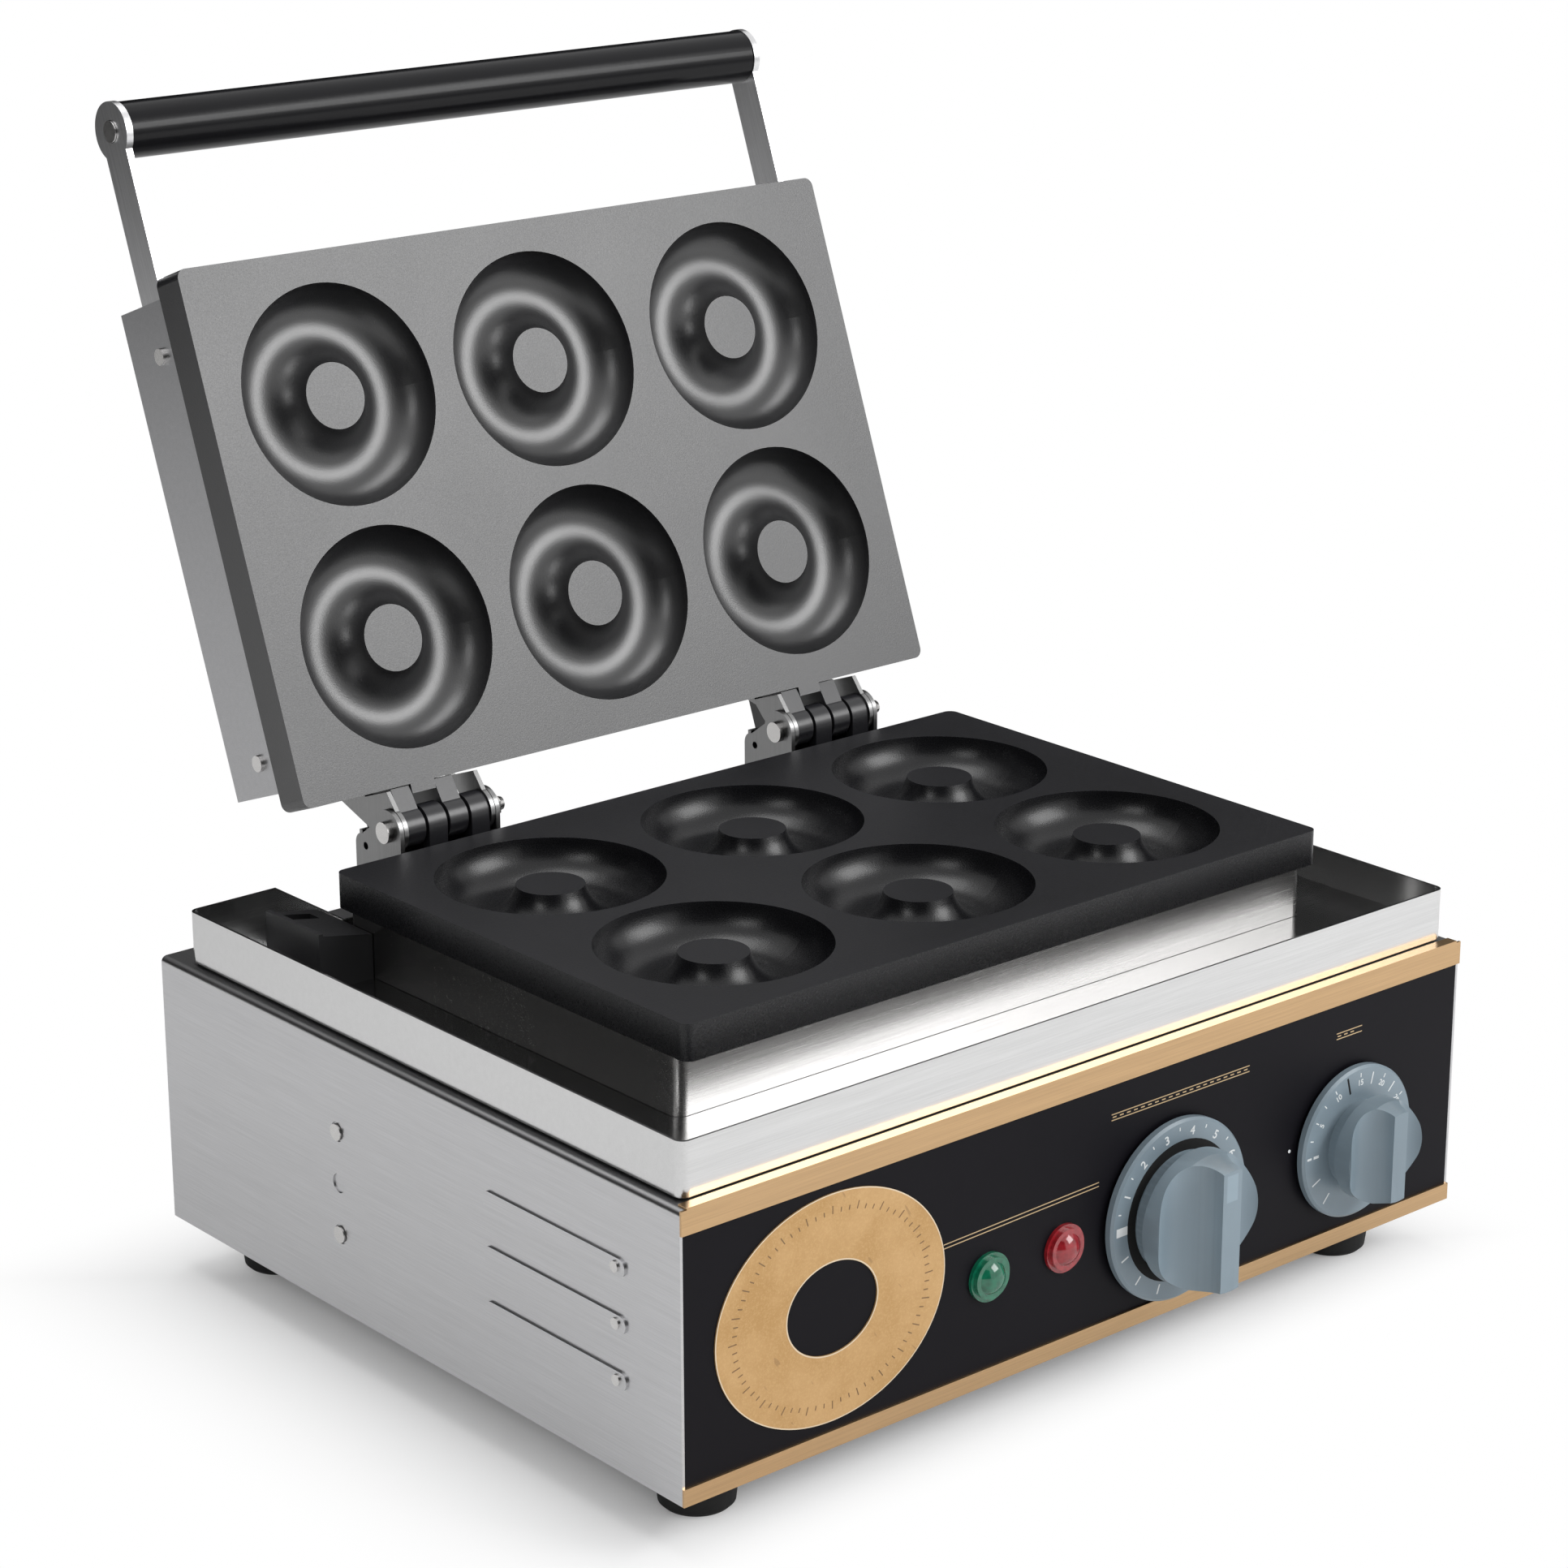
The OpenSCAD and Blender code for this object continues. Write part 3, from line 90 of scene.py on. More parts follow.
class Graph:
    """A node tree, built node by node."""

    def __init__(self, tree):
        self.tree = tree

    def node(self, kind, settings, inputs, out=0):
        """A new node: its settings first, then the values or links of its sockets."""
        made = self.tree.nodes.new("ShaderNode" + kind)
        for key, value in settings.items():
            setattr(made, key, value)
        pairs = inputs.items() if isinstance(inputs, dict) else enumerate(inputs)
        for key, value in pairs:
            self.join(value, made.inputs[key])
        return Value(self, made.outputs[out])

    def join(self, value, socket):
        if isinstance(value, Value):
            self.tree.links.new(value.socket, socket)
        elif isinstance(value, tuple) and len(value) == 3 and socket.type == "RGBA":
            socket.default_value = (*value, 1.0)
        else:
            socket.default_value = value

    def rays(self, *names):
        """Light Path's outputs of those names."""
        path = self.node("LightPath", {}, {}).socket.node
        return [Value(self, path.outputs[name]) for name in names]

    def blend_shaders(self, factor, low, high):
        return self.node("MixShader", {}, [factor, low, high])


class Paint(Graph):
    """One material, with what changes over the surface set on its Principled shader."""

    def __init__(self, name, colour, rough, metal=0.0, **constants):
        self.material = bpy.data.materials.new(name)
        self.material.use_nodes = True
        super().__init__(self.material.node_tree)
        self.shader = next(n for n in self.tree.nodes if n.type == "BSDF_PRINCIPLED")
        self.shader.inputs["Base Color"].default_value = (*colour, 1.0)
        self.shader.inputs["Roughness"].default_value = rough
        self.shader.inputs["Metallic"].default_value = metal
        for socket, value in constants.items():
            self.shader.inputs[socket.replace("_", " ")].default_value = value
        self.material.diffuse_color = (*colour, 1.0)

    def set(self, name, value):
        self.join(value, self.shader.inputs[name])

    def place(self, scale=(1.0, 1.0, 1.0), turn=NO_TURN):
        """The piece's own coordinates, turned and scaled."""
        here = self.node("TexCoord", {}, {}, out="Object")
        if turn != NO_TURN:
            here = self.node("Mapping", {"vector_type": "POINT"}, {0: here, 2: turn})
        return self.node("VectorMath", {"operation": "MULTIPLY"}, {0: here, 1: scale})

    def noise(self, where, scale=1.0, detail=2.0, rough=0.5):
        """Noise from 0 to 1, with so many cells to the metre."""
        return self.node("TexNoise", {}, {"Vector": where, "Scale": scale, "Detail": detail,
                                          "Roughness": rough})

    def mix(self, factor, low, high):
        return self.node("Mix", {"data_type": "RGBA"}, {0: factor, 6: low, 7: high}, out=2)

    def axes(self, vector):
        parts = self.node("SeparateXYZ", {}, [vector])
        return [Value(self, out) for out in parts.socket.node.outputs]

    def along(self, vector, direction):
        return self.node("VectorMath", {"operation": "DOT_PRODUCT"}, [vector, direction],
                         out="Value")

    def bump(self, height, strength, distance):
        self.set("Normal", self.node("Bump", {}, {"Strength": strength, "Distance": distance,
                                                  "Height": height}))

    def edge_wear(self):
        """1 on the piece's sharp outer edges, from its pointiness."""
        return self.node("NewGeometry", {}, {}, out="Pointiness").over(0.56, 0.04)


def lit(colour, gain):
    return tuple(min(1.0, c * gain) for c in colour)


def streaks(paint, along, across_cells, along_cells, turn, rough=0.5):
    """Noise drawn out along an axis."""
    cells = [across_cells] * 3
    cells["XYZ".index(along)] = along_cells
    return paint.noise(paint.place(tuple(cells), turn), rough=rough)


def brushed(name, colour, along, rough, streak=0.14, turn=NO_TURN, metal=1.0):
    """Brushed sheet with its grain along an axis: fine streaks, cloudy handling marks."""
    paint = Paint(name, colour, rough, metal)
    hair = streaks(paint, along, 2200.0, 30.0, turn, rough=0.6)
    band = streaks(paint, along, 420.0, 6.0, turn)
    cloud = paint.noise(paint.place((9.0, 9.0, 9.0), turn), detail=3.0)
    grain = hair * 0.75 + band * 0.25
    paint.set("Base Color", paint.mix(grain.over(0.5, 0.3), lit(colour, 1 - streak),
                                      lit(colour, 1 + streak * 0.6)))
    paint.set("Roughness", grain.ranged(rough - 0.04, rough + 0.04) + cloud.ranged(-0.03, 0.03))
    paint.bump(grain, strength=0.06, distance=0.00003)
    return paint.material


def coated(name, piece, colour, out, rough, spec):
    """Non-stick coating: a sparkling ground face and smoother hollows, worn on its edges.

    out is the baking face's outward direction; the face is the piece's farthest plane that way.
    rough holds the face's roughness and the hollows'."""
    face_rough, hollow_rough = rough
    paint = Paint(name, colour, face_rough, Specular_IOR_Level=spec)
    here = paint.place()
    top = max(Vector(out).dot(v.co) for v in nodes[piece].data.vertices)
    depth = top - paint.along(here, out)
    levelness = paint.along(paint.node("TexCoord", {}, {}, out="Normal"), out)
    face = (1.0 - depth.over(0.0060, 0.0010)) * levelness.over(0.990, 0.004)
    peel = paint.noise(here, 1500.0, rough=0.6)
    sparkle = paint.noise(here, 2400.0, detail=1.0)
    cloud = paint.noise(here, 14.0, detail=3.0)
    base = paint.mix(cloud.over(0.5, 0.25), lit(colour, 0.85), lit(colour, 1.15))
    sparks = sparkle.over(0.62, 0.08) * (face * 0.35 + 0.10)
    base = paint.mix(sparks, base, lit(colour, 5.0))
    paint.set("Base Color", paint.mix(paint.edge_wear() * 0.35, base, lit(colour, 3.0)))
    paint.set("Roughness", face * (face_rough - hollow_rough) + hollow_rough
              + peel.ranged(-0.06, 0.06) + sparkle.ranged(-0.05, 0.05)
              + cloud.ranged(-0.03, 0.03))
    paint.bump(peel * 0.6 + sparkle * 0.4, strength=0.5, distance=0.00012)
    return paint.material


def plain(name, colour, rough, metal=0.0, speck=900.0, bumpiness=0.12, vary=0.08, **constants):
    """A moulded, painted or turned finish with slight mottling and a fine surface."""
    paint = Paint(name, colour, rough, metal, **constants)
    here = paint.place()
    fine = paint.noise(here, speck)
    cloud = paint.noise(here, 22.0, detail=3.0)
    base = paint.mix(cloud.over(0.5, 0.25), lit(colour, 1 - vary), lit(colour, 1 + vary))
    paint.set("Base Color", paint.mix(paint.edge_wear() * 0.18, base, lit(colour, 1.5)))
    paint.set("Roughness", fine.ranged(rough - 0.05, rough + 0.05) + cloud.ranged(-0.04, 0.04))
    paint.bump(fine, strength=bumpiness, distance=0.00008)
    return paint.material


LID_ANGLE = math.radians(frame["record"]["behaviour"]["joints"][0]["range_deg"][1])
LID_TURN = (LID_ANGLE, 0.0, 0.0)
LID_FACE = (0.0, -math.sin(LID_ANGLE), -math.cos(LID_ANGLE))

steel_side = brushed("steel_side", (0.57, 0.57, 0.58), "Y", rough=0.30, streak=0.10)
steel_back = brushed("steel_back", (0.55, 0.55, 0.56), "X", rough=0.36)
steel_tray = brushed("steel_tray", (0.66, 0.66, 0.66), "X", rough=0.17, streak=0.10)
steel_housing = brushed("steel_housing", (0.32, 0.315, 0.31), "X", rough=0.26, streak=0.12)
steel_lid = brushed("steel_lid", (0.46, 0.46, 0.47), "X", rough=0.32, turn=LID_TURN)
steel_arm = brushed("steel_arm", (0.72, 0.72, 0.73), "Y", rough=0.30, turn=LID_TURN)
steel_bracket = brushed("steel_bracket", (0.26, 0.26, 0.26), "Z", rough=0.32, streak=0.10)
bolt_steel = plain("bolt_steel", (0.60, 0.59, 0.58), rough=0.24, metal=1.0)
bronze = brushed("bronze", (0.56, 0.37, 0.20), "X", rough=0.30, streak=0.12, metal=0.95)
panel_paint = plain("panel_paint", (0.0055, 0.005, 0.007), rough=0.42, bumpiness=0.05,
                    Specular_IOR_Level=0.09)
coat_lower = coated("coat_lower", "lower_plate", (0.005, 0.005, 0.006), out=UP,
                    rough=(0.38, 0.28), spec=0.40)
coat_upper = coated("coat_upper", "upper_plate", (0.006, 0.006, 0.007), out=LID_FACE,
                    rough=(0.42, 0.34), spec=1.0)
black_paint = plain("black_paint", (0.012, 0.012, 0.014), rough=0.30, Specular_IOR_Level=0.6)
black_plastic = plain("black_plastic", (0.014, 0.014, 0.015), rough=0.42,
                      Specular_IOR_Level=0.3)
grip_black = plain("grip_black", (0.005, 0.005, 0.006), rough=0.20, bumpiness=0.05,
                   Specular_IOR_Level=0.2)
rubber = plain("rubber", (0.014, 0.014, 0.014), rough=0.65, bumpiness=0.3,
               Specular_IOR_Level=0.3)
dial_grey = plain("dial_grey", (0.20, 0.255, 0.295), rough=0.34, bumpiness=0.25, speck=500.0,
                  vary=0.14)
white_print = plain("white_print", (0.74, 0.77, 0.78), rough=0.5)
gold_print = plain("gold_print", (0.50, 0.36, 0.20), rough=0.4, metal=0.3)
brown_print = plain("brown_print", (0.20, 0.115, 0.05), rough=0.55, metal=0.1)
pale_edge = plain("pale_edge", (0.74, 0.60, 0.44), rough=0.35, metal=0.7)
switch_cream = plain("switch_cream", (0.55, 0.52, 0.45), rough=0.5)
fibre = plain("fibre", (0.70, 0.66, 0.52), rough=0.95, speck=300.0, bumpiness=0.8)
copper = plain("copper", (0.62, 0.32, 0.18), rough=0.35, metal=1.0)
element_dark = plain("element_dark", (0.16, 0.14, 0.12), rough=0.5, metal=0.8)
# Black for the tray's seal, the timer's long mark, and the shade painted in the gap round the
# thermostat knob.
black_seal_print_and_shade = plain("black_seal_print_and_shade", (0.010, 0.010, 0.010), rough=0.7, Specular_IOR_Level=0.2)


def satin_gold():
    """The badge's satin gold: sandy grain, slow mottling and a few short scuffs."""
    paint = Paint("badge_gold", (0.46, 0.27, 0.105), rough=0.42, metal=0.35)
    here = paint.place()
    sand = paint.noise(here, 1300.0, detail=3.0, rough=0.7)
    mottle = paint.noise(here, 45.0, detail=4.0, rough=0.6)
    scuff = paint.noise(paint.place((240.0, 240.0, 60.0), (0.0, 0.6, 0.0))).over(0.70, 0.02)
    base = paint.mix(mottle.over(0.5, 0.2), (0.50, 0.29, 0.105), (0.60, 0.37, 0.16))
    base = paint.mix(sand.over(0.56, 0.12) * 0.35, base, (0.70, 0.47, 0.23))
    paint.set("Base Color", paint.mix(scuff * 0.5, base, (0.30, 0.17, 0.07)))
    paint.set("Roughness", sand.ranged(0.36, 0.52) + mottle.ranged(-0.04, 0.04))
    paint.bump(sand, strength=0.2, distance=0.00006)
    return paint.material


KNOB_GREY = (0.180, 0.232, 0.270)


def knob_plastic(name, centre, half_width, low, high, front):
    """Blue-grey moulding with a paler pointer panel let into the top of its grip.

    The panel lies between the heights low and high, half_width to each side of centre, and in
    front of the depth front."""
    edge = 0.0003
    paint = Paint(name, KNOB_GREY, 0.36)
    here = paint.place()
    fine = paint.noise(here, 900.0)
    cloud = paint.noise(here, 22.0, detail=3.0)
    x, y, z = paint.axes(here)
    inside = (1.0 - (x - centre).math("ABSOLUTE").over(half_width, edge)) \
        * z.over(low, edge) * (1.0 - z.over(high, edge)) * (1.0 - y.over(front, 0.0004))
    base = paint.mix(cloud.over(0.5, 0.25), lit(KNOB_GREY, 0.92), lit(KNOB_GREY, 1.08))
    base = paint.mix(paint.edge_wear() * 0.3, base, lit(KNOB_GREY, 1.7))
    paint.set("Base Color", paint.mix(inside, base, lit(KNOB_GREY, 1.5)))
    paint.set("Roughness", fine.ranged(0.31, 0.42) + cloud.ranged(-0.04, 0.04))
    paint.bump(fine - inside * 2.0, strength=0.10, distance=0.00010)
    return paint.material


badge_gold = satin_gold()
knob_low, knob_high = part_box("thermostat_knob")
thermostat_grey = knob_plastic("thermostat_grey", centre=(knob_low[0] + knob_high[0]) / 2,
                               half_width=0.0030, low=knob_high[2] - 0.0150,
                               high=knob_high[2] - 0.0040, front=knob_low[1] + 0.0015)
knob_grey = plain("knob_grey", KNOB_GREY, rough=0.32, bumpiness=0.08)


def lens_paint(name, colour, glow):
    """Clear tinted plastic with a prismatic inside, lit a little from within."""
    paint = Paint(name, colour, 0.12, Coat_Weight=0.6, Coat_Roughness=0.04, IOR=1.49,
                  Emission_Strength=1.0)
    here = paint.place()
    cells = paint.node("TexVoronoi", {}, {"Vector": here, "Scale": 420.0})
    depth = paint.noise(here, 160.0)
    shade = cells * 0.6 + depth * 0.4
    paint.set("Base Color", paint.mix(shade, lit(colour, 0.5), lit(colour, 1.7)))
    paint.set("Emission Color", paint.mix(shade, lit(glow, 0.5), glow))
    paint.bump(cells, strength=0.15, distance=0.0002)
    return paint.material


green_lens = lens_paint("green_lens", (0.004, 0.105, 0.055), (0.001, 0.018, 0.009))
red_lens = lens_paint("red_lens", (0.24, 0.012, 0.018), (0.030, 0.001, 0.001))

FINISH = {
    steel_side: ["casing"],
    steel_back: ["back_panel", "base_plate", "cross_brace"],
    panel_paint: ["front_panel"],
    bronze: ["trim_top", "trim_bottom"],
    badge_gold: ["badge_plate"],
    bolt_steel: ["side_screws", "flange_rivets", "foot_screws", "hinge_bolts", "hinge_nuts",
                 "bracket_screws", "lid_screws", "handle_rod", "lower_studs", "upper_studs",
                 "thermostat_shaft", "timer_shaft"],
    rubber: ["foot_front_left", "foot_front_right", "foot_back_left", "foot_back_right"],
    steel_tray: ["drip_tray"],
    black_seal_print_and_shade: ["tray_seal"],
    steel_housing: ["heater_housing"],
    coat_lower: ["lower_plate"],
    coat_upper: ["upper_plate"],
    element_dark: ["lower_element", "upper_element"],
    fibre: ["lower_insulation", "upper_insulation"],
    black_plastic: ["lead_box", "gland_body", "gland_nut", "lamp_holders"],
    switch_cream: ["terminal_block", "thermostat_body", "timer_body"],
    copper: ["thermostat_bulb"],
    green_lens: ["green_lens"],
    red_lens: ["red_lens"],
    steel_bracket: ["hinge_bracket_left", "hinge_bracket_right", "lid_bracket_left",
                    "lid_bracket_right"],
    black_paint: ["hinge_leaf_left", "hinge_leaf_right", "lid_lugs_left", "lid_lugs_right"],
    steel_lid: ["lid_cover"],
    steel_arm: ["handle_arm_left", "handle_arm_right"],
    grip_black: ["handle_grip"],
    dial_grey: ["thermostat_dial", "timer_dial"],
    thermostat_grey: ["thermostat_knob"],
    knob_grey: ["timer_knob"],
}
for material, names in FINISH.items():
    for name in names:
        mesh = nodes[name].data
        mesh.materials.clear()
        mesh.materials.append(material)


def soften(names, width, segments=2, angle=32.0, clamp=True):
    """Rounds the sharp edges of CAD pieces so that they catch the light."""
    for name in names:
        edge = nodes[name].modifiers.new("soft_edges", "BEVEL")
        edge.width = width
        edge.segments = segments
        edge.limit_method = "ANGLE"
        edge.angle_limit = math.radians(angle)
        edge.harden_normals = True
        edge.use_clamp_overlap = clamp


soften(["thermostat_knob", "timer_knob"], width=0.0006, segments=3, clamp=False)
soften(["thermostat_dial", "timer_dial"], width=0.0003, clamp=False)
soften(["casing"], width=0.0008, segments=3, clamp=False)
soften(["trim_top", "trim_bottom"], width=0.00035, clamp=False)
soften(["lower_plate", "upper_plate"], width=0.0006, segments=3, angle=40.0)
soften(["lid_cover"], width=0.0008, segments=3)
soften(["drip_tray"], width=0.0003, clamp=False)
soften(["lead_box"], width=0.0006)
soften(["handle_grip"], width=0.0012, segments=3)
soften(["hinge_bolts", "handle_rod"], width=0.0006, segments=3)
soften(["lid_bracket_left", "lid_bracket_right", "hinge_bracket_left", "hinge_bracket_right",
        "handle_arm_left", "handle_arm_right"], width=0.0004, clamp=False)
soften(["hinge_leaf_left", "hinge_leaf_right", "lid_lugs_left", "lid_lugs_right"],
       width=0.0005)
soften(["side_screws", "flange_rivets", "lid_screws", "bracket_screws"], width=0.0003)

# ---------------------------------------------------------------- fine pieces

PRINT = 0.00006          # thickness of a printed layer
FIGURE_HALF = 0.00003    # half the thickness of a dial's figures
FIGURE_BOLD = 0.00008    # how far a figure's outline is grown


def printed(name, shapes, face_y, body, material, thickness=PRINT):
    """Flat shapes, each a list of (x, z) points, raised a hair's breadth off a front face."""
    form = bmesh.new()
    for shape in shapes:
        front = [form.verts.new((x, face_y - thickness, z)) for x, z in shape]
        back = [form.verts.new((x, face_y, z)) for x, z in shape]
        form.faces.new(front)
        for i in range(len(shape)):
            j = (i + 1) % len(shape)
            form.faces.new((front[j], front[i], back[i], back[j]))
    bmesh.ops.recalc_face_normals(form, faces=form.faces[:])
    mesh = bpy.data.meshes.new(name)
    form.to_mesh(mesh)
    form.free()
    mesh.materials.append(material)
    piece = bpy.data.objects.new(name, mesh)
    scene.collection.objects.link(piece)
    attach(piece, body)


def bar(centre, angle, near, far, width, far_width=None):
    """A radial mark between two radii, which may widen outwards."""
    a = math.radians(angle)
    out, side = (math.cos(a), math.sin(a)), (-math.sin(a), math.cos(a))

    def corner(reach, aside):
        return (centre[0] + out[0] * reach + side[0] * aside,
                centre[1] + out[1] * reach + side[1] * aside)

    near_half, far_half = width / 2, (far_width or width) / 2
    return [corner(near, -near_half), corner(far, -far_half), corner(far, far_half),
            corner(near, near_half)]


def numeral(name, text, centre, angle, radius, height, face_y, body):
    """A plain figure that stands on a dial's face with its head outwards."""
    data = bpy.data.curves.new(name, "FONT")
    data.body = text
    data.size = height
    data.extrude = FIGURE_HALF
    data.offset = FIGURE_BOLD
    data.align_x = "CENTER"
    data.align_y = "CENTER"
    data.materials.append(white_print)
    piece = bpy.data.objects.new(name, data)
    scene.collection.objects.link(piece)
    a = math.radians(angle)
    upright = Matrix.Rotation(math.pi / 2, 4, "X")
    turn = Matrix.Rotation(math.pi / 2 - a, 4, "Y") @ upright
    place = Vector((centre[0] + radius * math.cos(a), face_y - FIGURE_HALF,
                    centre[1] + radius * math.sin(a)))
    piece.matrix_world = Matrix.Translation(place) @ turn
    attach(piece, body)


def dial_face(node):
    """A dial's centre as (x, z), its radius and the y of its front."""
    low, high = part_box(node)
    centre = ((low[0] + high[0]) / 2, (low[2] + high[2]) / 2)
    return centre, (high[0] - low[0]) / 2, low[1]


def thermostat_print():
    """A black ring of painted shade in the gap round the knob, the figures 1 to 9 and 0, and
    their ticks.
    """
    centre, radius, face = dial_face("thermostat_dial")
    skirt = (knob_high[0] - knob_low[0]) / 2
    # The black ring is painted shade: it darkens the dial in the gap under the knob's skirt.
    shade_near, shade_far = skirt - 0.0030, skirt + 0.0014
    shade_count = 60
    chord = 0.106            # of a unit circle, a little over a sixtieth so that bars meet
    shade_ring = [bar(centre, 360 // shade_count * i, shade_near, shade_far, chord * shade_near,
               chord * shade_far) for i in range(shade_count)]
    printed("thermostat_painted_gap_shade", shade_ring, face, "thermostat_control", black_seal_print_and_shade,
            0.00004)
    first, step = 155, 25
    for count, angle in enumerate(range(first, -75, -step), start=1):
        numeral(f"thermostat_figure_{count % 10}", str(count % 10), centre, angle,
                radius - 0.0052, 0.0050, face, "thermostat_control")
    between = [first + step / 2 - step * i for i in range(10)]
    low_marks = (202, 226, 250)
    marks = [bar(centre, 180, radius - 0.0084, radius - 0.0026, 0.0036)]
    marks += [bar(centre, angle, radius - 0.0040, radius - 0.0026, 0.0005)
              for angle in between]
    marks += [bar(centre, angle, radius - 0.0072, radius - 0.0032, 0.0007)
              for angle in low_marks]
    printed("thermostat_marks", marks, face, "thermostat_control", white_print)


def timer_print():
    """Minutes from 5 to 30 with their ticks, the off mark, and one long dark mark."""
    centre, radius, face = dial_face("timer_dial")
    dark_angle = 105
    long_angles = (75, 45)
    low_marks = (205, 228)
    light = [bar(centre, 180, radius - 0.0046, radius - 0.0022, 0.0009),
             bar(centre, 180, radius - 0.0088, radius - 0.0058, 0.0012)]
    light += [bar(centre, angle, radius - 0.0044, radius - 0.0026, 0.0005)
              for angle in range(-75, 166, 15) if angle not in (dark_angle, *long_angles)]
    light += [bar(centre, angle, radius - 0.0080, radius - 0.0030, 0.0006)
              for angle in (*long_angles, *low_marks)]
    printed("timer_marks", light, face, "timer_control", white_print)
    long_mark = bar(centre, dark_angle, radius - 0.0095, radius - 0.0020, 0.0009)
    printed("timer_long_mark", [long_mark], face, "timer_control", black_seal_print_and_shade)
    for minutes in range(5, 35, 5):
        numeral(f"timer_figure_{minutes}", str(minutes), centre, 180 - 6 * minutes,
                radius - 0.0068, 0.0034, face, "timer_control")


def strip(x0, x1, z, height, rise=0.0):
    """A slim rule on the panel from x0 to x1, which climbs by rise."""
    half = height / 2
    return [(x0, z - half), (x1, z + rise - half), (x1, z + rise + half), (x0, z + half)]


def oval(centre, half_w, half_h, count=96):
    return [(centre[0] + half_w * math.cos(2 * math.pi * i / count),
             centre[1] + half_h * math.sin(2 * math.pi * i / count)) for i in range(count)]


def oval_line(centre, half_w, half_h, width):
    """A closed line of that width, as short quads along an oval."""
    outer = oval(centre, half_w, half_h)
    inner = oval(centre, half_w - width, half_h - width)
    count = len(outer)
    return [[outer[i], outer[(i + 1) % count], inner[(i + 1) % count], inner[i]]
            for i in range(count)]


def panel_print():
    """Plain gold rules where such panels are printed, and the timer's index dot."""
    panel_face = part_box("front_panel")[0][1]
    timer_centre = dial_face("timer_dial")[0]
    thermostat_centre = dial_face("thermostat_dial")[0]
    line, line_gap = 0.0004, 0.0016
    lamp_low, lamp_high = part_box("green_lens")
    start, end = lamp_low[0] - 0.0130, 0.0
    above, climb = lamp_high[2] + 0.0080, 0.0020
    rules = [strip(start, end, above, line, climb),
             strip(start, end, above + line_gap, line, climb)]
    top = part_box("trim_top")[0][2] - 0.0150
    band, dash, dash_pitch = 0.0024, 0.0005, 0.0038
    for x0, x1 in ((thermostat_centre[0] - 0.034, thermostat_centre[0] + 0.042),
                   (timer_centre[0] - 0.010, timer_centre[0] + 0.005)):
        rules += [strip(x0, x1, top, line), strip(x0, x1, top + band, line)]
        count = int((x1 - x0) / dash_pitch)
        rules += [strip(x0 + dash_pitch * i + 0.0006, x0 + dash_pitch * i + 0.0026,
                        top + band / 2, dash) for i in range(count)]
    printed("panel_rules", rules, panel_face, "base", gold_print)
    dot = (timer_centre[0] - 0.0355, timer_centre[1] + 0.0040)
    printed("timer_index", [oval(dot, 0.0007, 0.0007, count=28)], panel_face, "base",
            white_print, 0.0002)


def badge_print():
    """Pale lines along the badge's edge and hole, and a ring of plain ticks."""
    low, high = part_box("badge_plate")
    centre = ((low[0] + high[0]) / 2, (low[2] + high[2]) / 2)
    half_w, half_h = (high[0] - low[0]) / 2, (high[2] - low[2]) / 2
    hole_w, hole_h = 0.0221, 0.0186
    edges = oval_line(centre, half_w, half_h, 0.00045)
    edges += oval_line(centre, hole_w, hole_h, 0.00055)
    printed("badge_edges", edges, low[1], "base", pale_edge)
    tick_count, tick_half = 72, 0.00022
    tick_far, long_tick_far, tick_near = 0.86, 0.89, 0.82    # shares of the badge's reach
    ticks = []
    for i in range(tick_count):
        a = 2 * math.pi * i / tick_count
        (x0, z0), (x1, z1) = [(centre[0] + half_w * share * math.cos(a),
                               centre[1] + half_h * share * math.sin(a))
                              for share in (tick_far if i % 3 else long_tick_far, tick_near)]
        length = math.hypot(x1 - x0, z1 - z0)
        nx, nz = -(z1 - z0) / length * tick_half, (x1 - x0) / length * tick_half
        ticks.append([(x0 + nx, z0 + nz), (x1 + nx, z1 + nz), (x1 - nx, z1 - nz),
                      (x0 - nx, z0 - nz)])
    printed("badge_ticks", ticks, low[1], "base", brown_print)


thermostat_print()
timer_print()
panel_print()
badge_print()

# ------------------------------------------------------------ camera, light

FRAME_PIXELS = 1932
FOCAL_PIXELS = 4955.44
SENSOR_WIDTH = 36.0
CORNER = Vector(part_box("trim_bottom")[0])
FROM_CORNER = Vector((-799.87, -988.02, 684.79)) * MM


def place_camera(place, yaw, pitch, roll, lens):
    """A camera that looks along yaw from the Y axis and down by pitch, in radians."""
    data = bpy.data.cameras.new("camera")
    data.sensor_fit = "HORIZONTAL"
    data.sensor_width = SENSOR_WIDTH
    data.lens = lens
    data.clip_start = 0.01
    data.clip_end = 50.0
    camera = bpy.data.objects.new("camera", data)
    scene.collection.objects.link(camera)
    ahead = Vector((math.sin(yaw) * math.cos(pitch), math.cos(yaw) * math.cos(pitch),
                    -math.sin(pitch)))
    right = ahead.cross(Vector(UP)).normalized()
    up = right.cross(ahead)
    spun_right = right * math.cos(roll) + up * math.sin(roll)
    spun_up = up * math.cos(roll) - right * math.sin(roll)
    turn = Matrix((spun_right, spun_up, -ahead)).transposed().to_4x4()
    camera.matrix_world = Matrix.Translation(place) @ turn
    scene.camera = camera


def area_light(name, place, aim, size, power):
    data = bpy.data.lights.new(name, "AREA")
    data.shape = "RECTANGLE"
    data.size, data.size_y = size
    data.energy = power
    lamp = bpy.data.objects.new(name, data)
    scene.collection.objects.link(lamp)
    lamp.location = place
    lamp.rotation_euler = (Vector(aim) - Vector(place)).to_track_quat("-Z", "Y").to_euler()


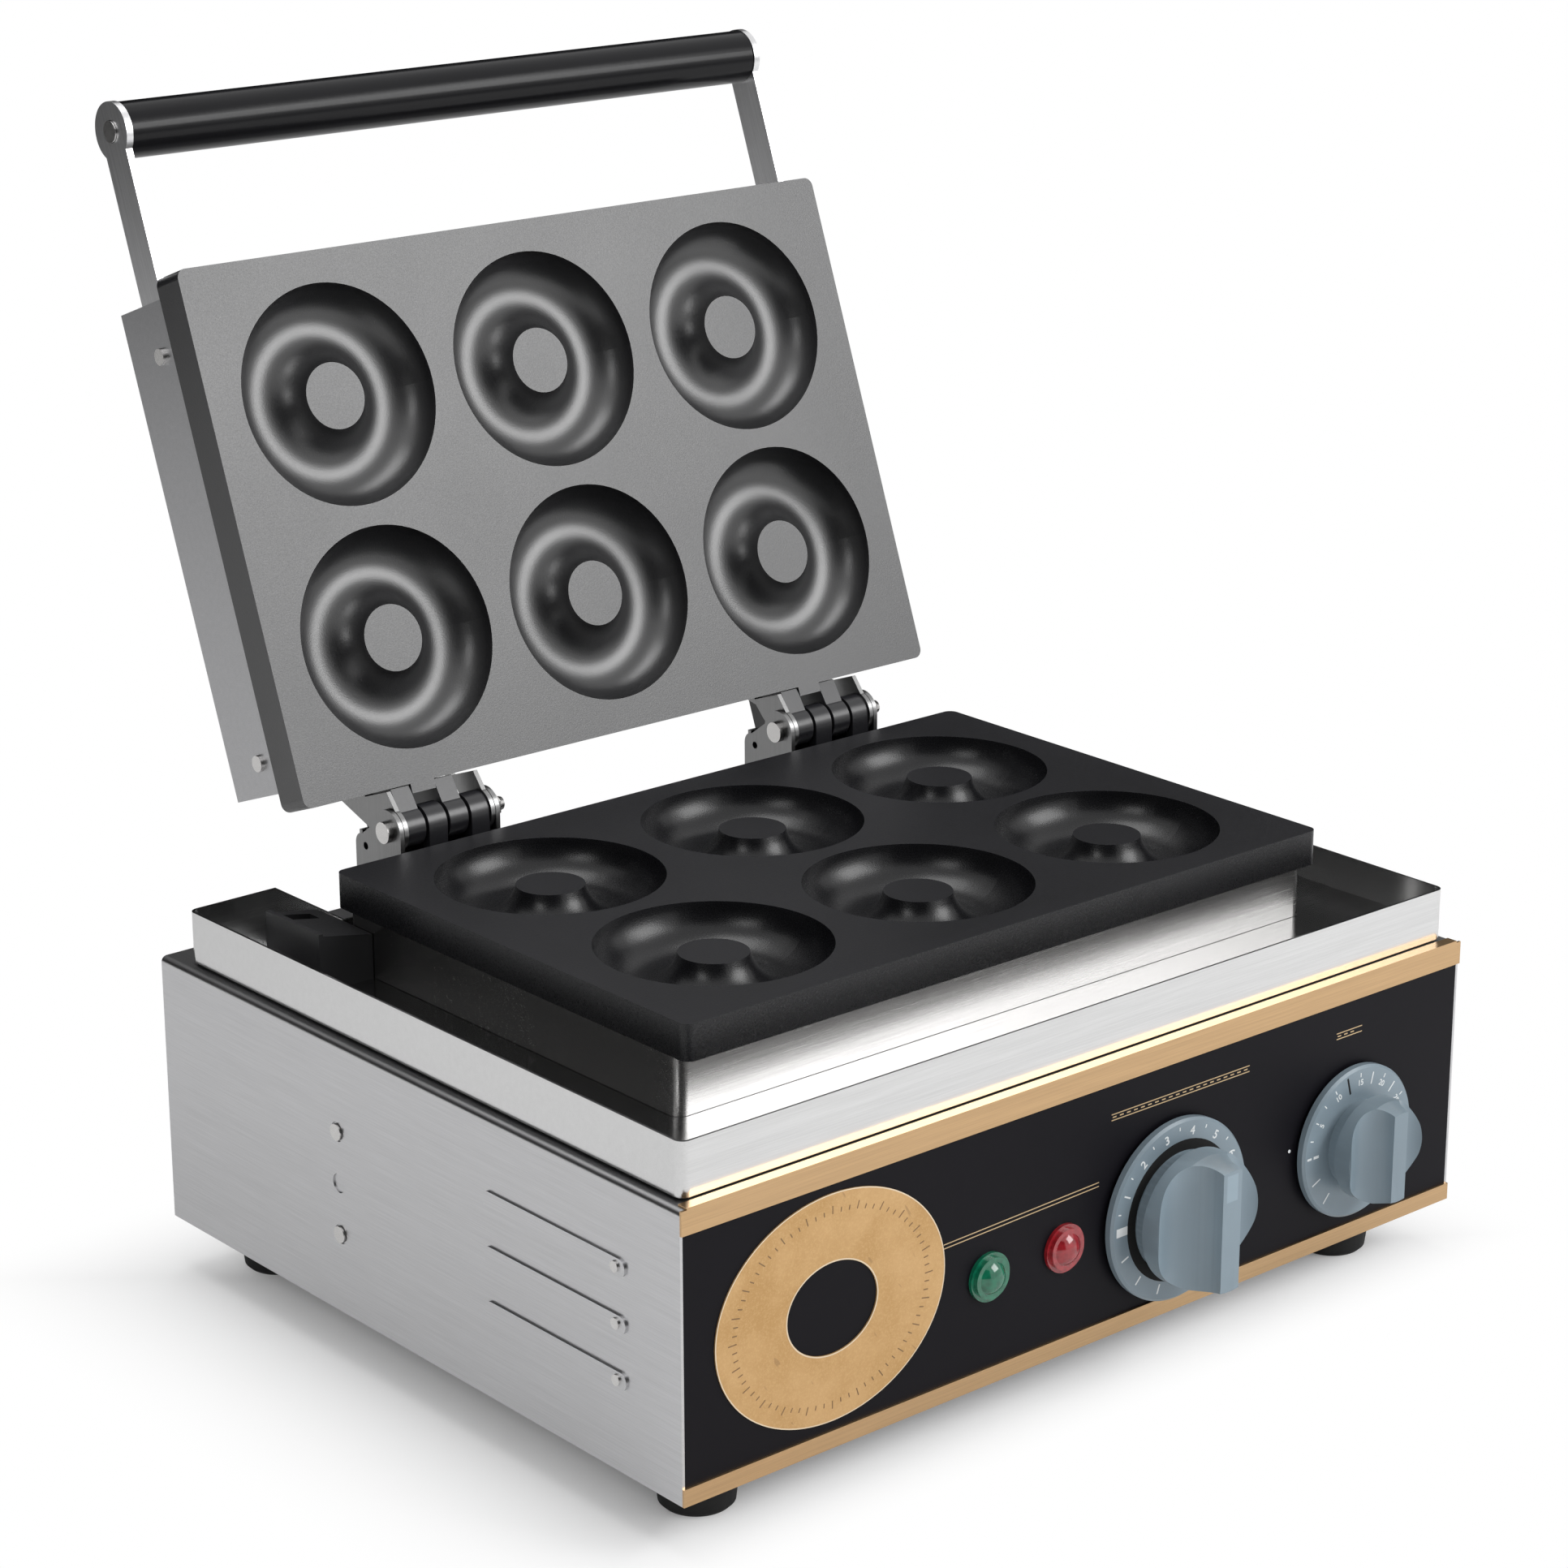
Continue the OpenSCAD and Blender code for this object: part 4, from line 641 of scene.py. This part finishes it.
def build_world():
    """White to the camera and in reflections, a dimmer even light for the rest."""
    world = bpy.data.worlds.new("studio")
    scene.world = world
    world.use_nodes = True
    sky = Graph(world.node_tree)
    sky.tree.nodes.clear()
    out = sky.tree.nodes.new("ShaderNodeOutputWorld")
    white = (1.0, 1.0, 1.0)
    dim = sky.node("Background", {}, {"Color": white, "Strength": 0.42})
    full = sky.node("Background", {}, {"Color": white, "Strength": 1.0})
    seen, glossy, through = sky.rays("Is Camera Ray", "Is Glossy Ray", "Is Transmission Ray")
    for ray in (glossy, through):
        seen = sky.node("Math", {"operation": "ADD", "use_clamp": True}, [seen, ray])
    sky.join(sky.blend_shaders(seen, dim, full), out.inputs["Surface"])


def flat_sheet(name, corners):
    """A flat four-cornered piece of the set."""
    mesh = bpy.data.meshes.new(name)
    form = bmesh.new()
    form.faces.new([form.verts.new(corner) for corner in corners])
    bmesh.ops.subdivide_edges(form, edges=form.edges[:], cuts=3, use_grid_fill=True)
    form.to_mesh(mesh)
    form.free()
    sheet = bpy.data.objects.new(name, mesh)
    scene.collection.objects.link(sheet)
    return sheet


def build_floor():
    """White paper that keeps the object's soft shadow and runs out into the background."""
    reach, drop = 6.0, -0.0002
    floor = flat_sheet("floor", [(-reach, -reach, drop), (reach, -reach, drop),
                                 (reach, reach, drop), (-reach, reach, drop)])
    paint = Paint("floor_paper", (0.93, 0.93, 0.93), 0.9, Specular_IOR_Level=0.1)
    low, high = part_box("casing")
    x, y, _ = paint.axes(paint.place())
    # How far from the casing the paper turns plain white on each side, and over what width.
    clear = (low[1] - y).over(-0.012, 0.034)
    for side in ((low[0] - x).over(0.020, 0.070), (x - high[0]).over(0.0, 0.05),
                 (y - high[1]).over(0.0, 0.06)):
        clear = clear.math("MAXIMUM", side)
    seen, = paint.rays("Is Camera Ray")
    glow = paint.node("Emission", {}, {})
    shaded = Value(paint, paint.shader.outputs[0])
    out = next(n for n in paint.tree.nodes if n.type == "OUTPUT_MATERIAL")
    paint.join(paint.blend_shaders(seen * clear, shaded, glow), out.inputs["Surface"])
    floor.data.materials.append(paint.material)


def build_flag(name, start, end, height):
    """A dark upright card beside the set, seen only in reflections."""
    card = flat_sheet(name, [(*start, 0.0), (*end, 0.0), (*end, height), (*start, height)])
    card.data.materials.append(Paint("flag_cloth", (0.02, 0.02, 0.02), 0.9,
                                     Specular_IOR_Level=0.0).material)
    card.visible_camera = False
    card.visible_shadow = False
    card.visible_diffuse = False


place_camera(CORNER + FROM_CORNER, yaw=math.radians(40.60), pitch=math.radians(18.11),
             roll=math.radians(-0.10), lens=FOCAL_PIXELS / FRAME_PIXELS * SENSOR_WIDTH)
area_light("overhead", place=(-0.10, 0.30, 1.9), aim=(0, 0.02, 0.15), size=(1.2, 0.9),
           power=13.0)
area_light("front_key", place=(1.00, -1.50, 1.24), aim=(0.0, 0.08, 0.30), size=(1.20, 1.00),
           power=25.0)
area_light("left_fill", place=(-1.9, -0.6, 1.5), aim=(0, 0, 0.15), size=(0.7, 0.7), power=6.0)
build_world()
scene.view_settings.view_transform = "Standard"
build_floor()
build_flag("flag_behind", (-2.0, 2.0), (3.0, 2.0), 2.2)
build_flag("flag_left", (-1.8, -0.2), (-1.8, 2.0), 1.8)
build_flag("flag_front", (-2.4, -0.3), (-0.3, -2.5), 2.0)
build_flag("flag_right", (2.6, 2.0), (2.6, -0.6), 2.2)
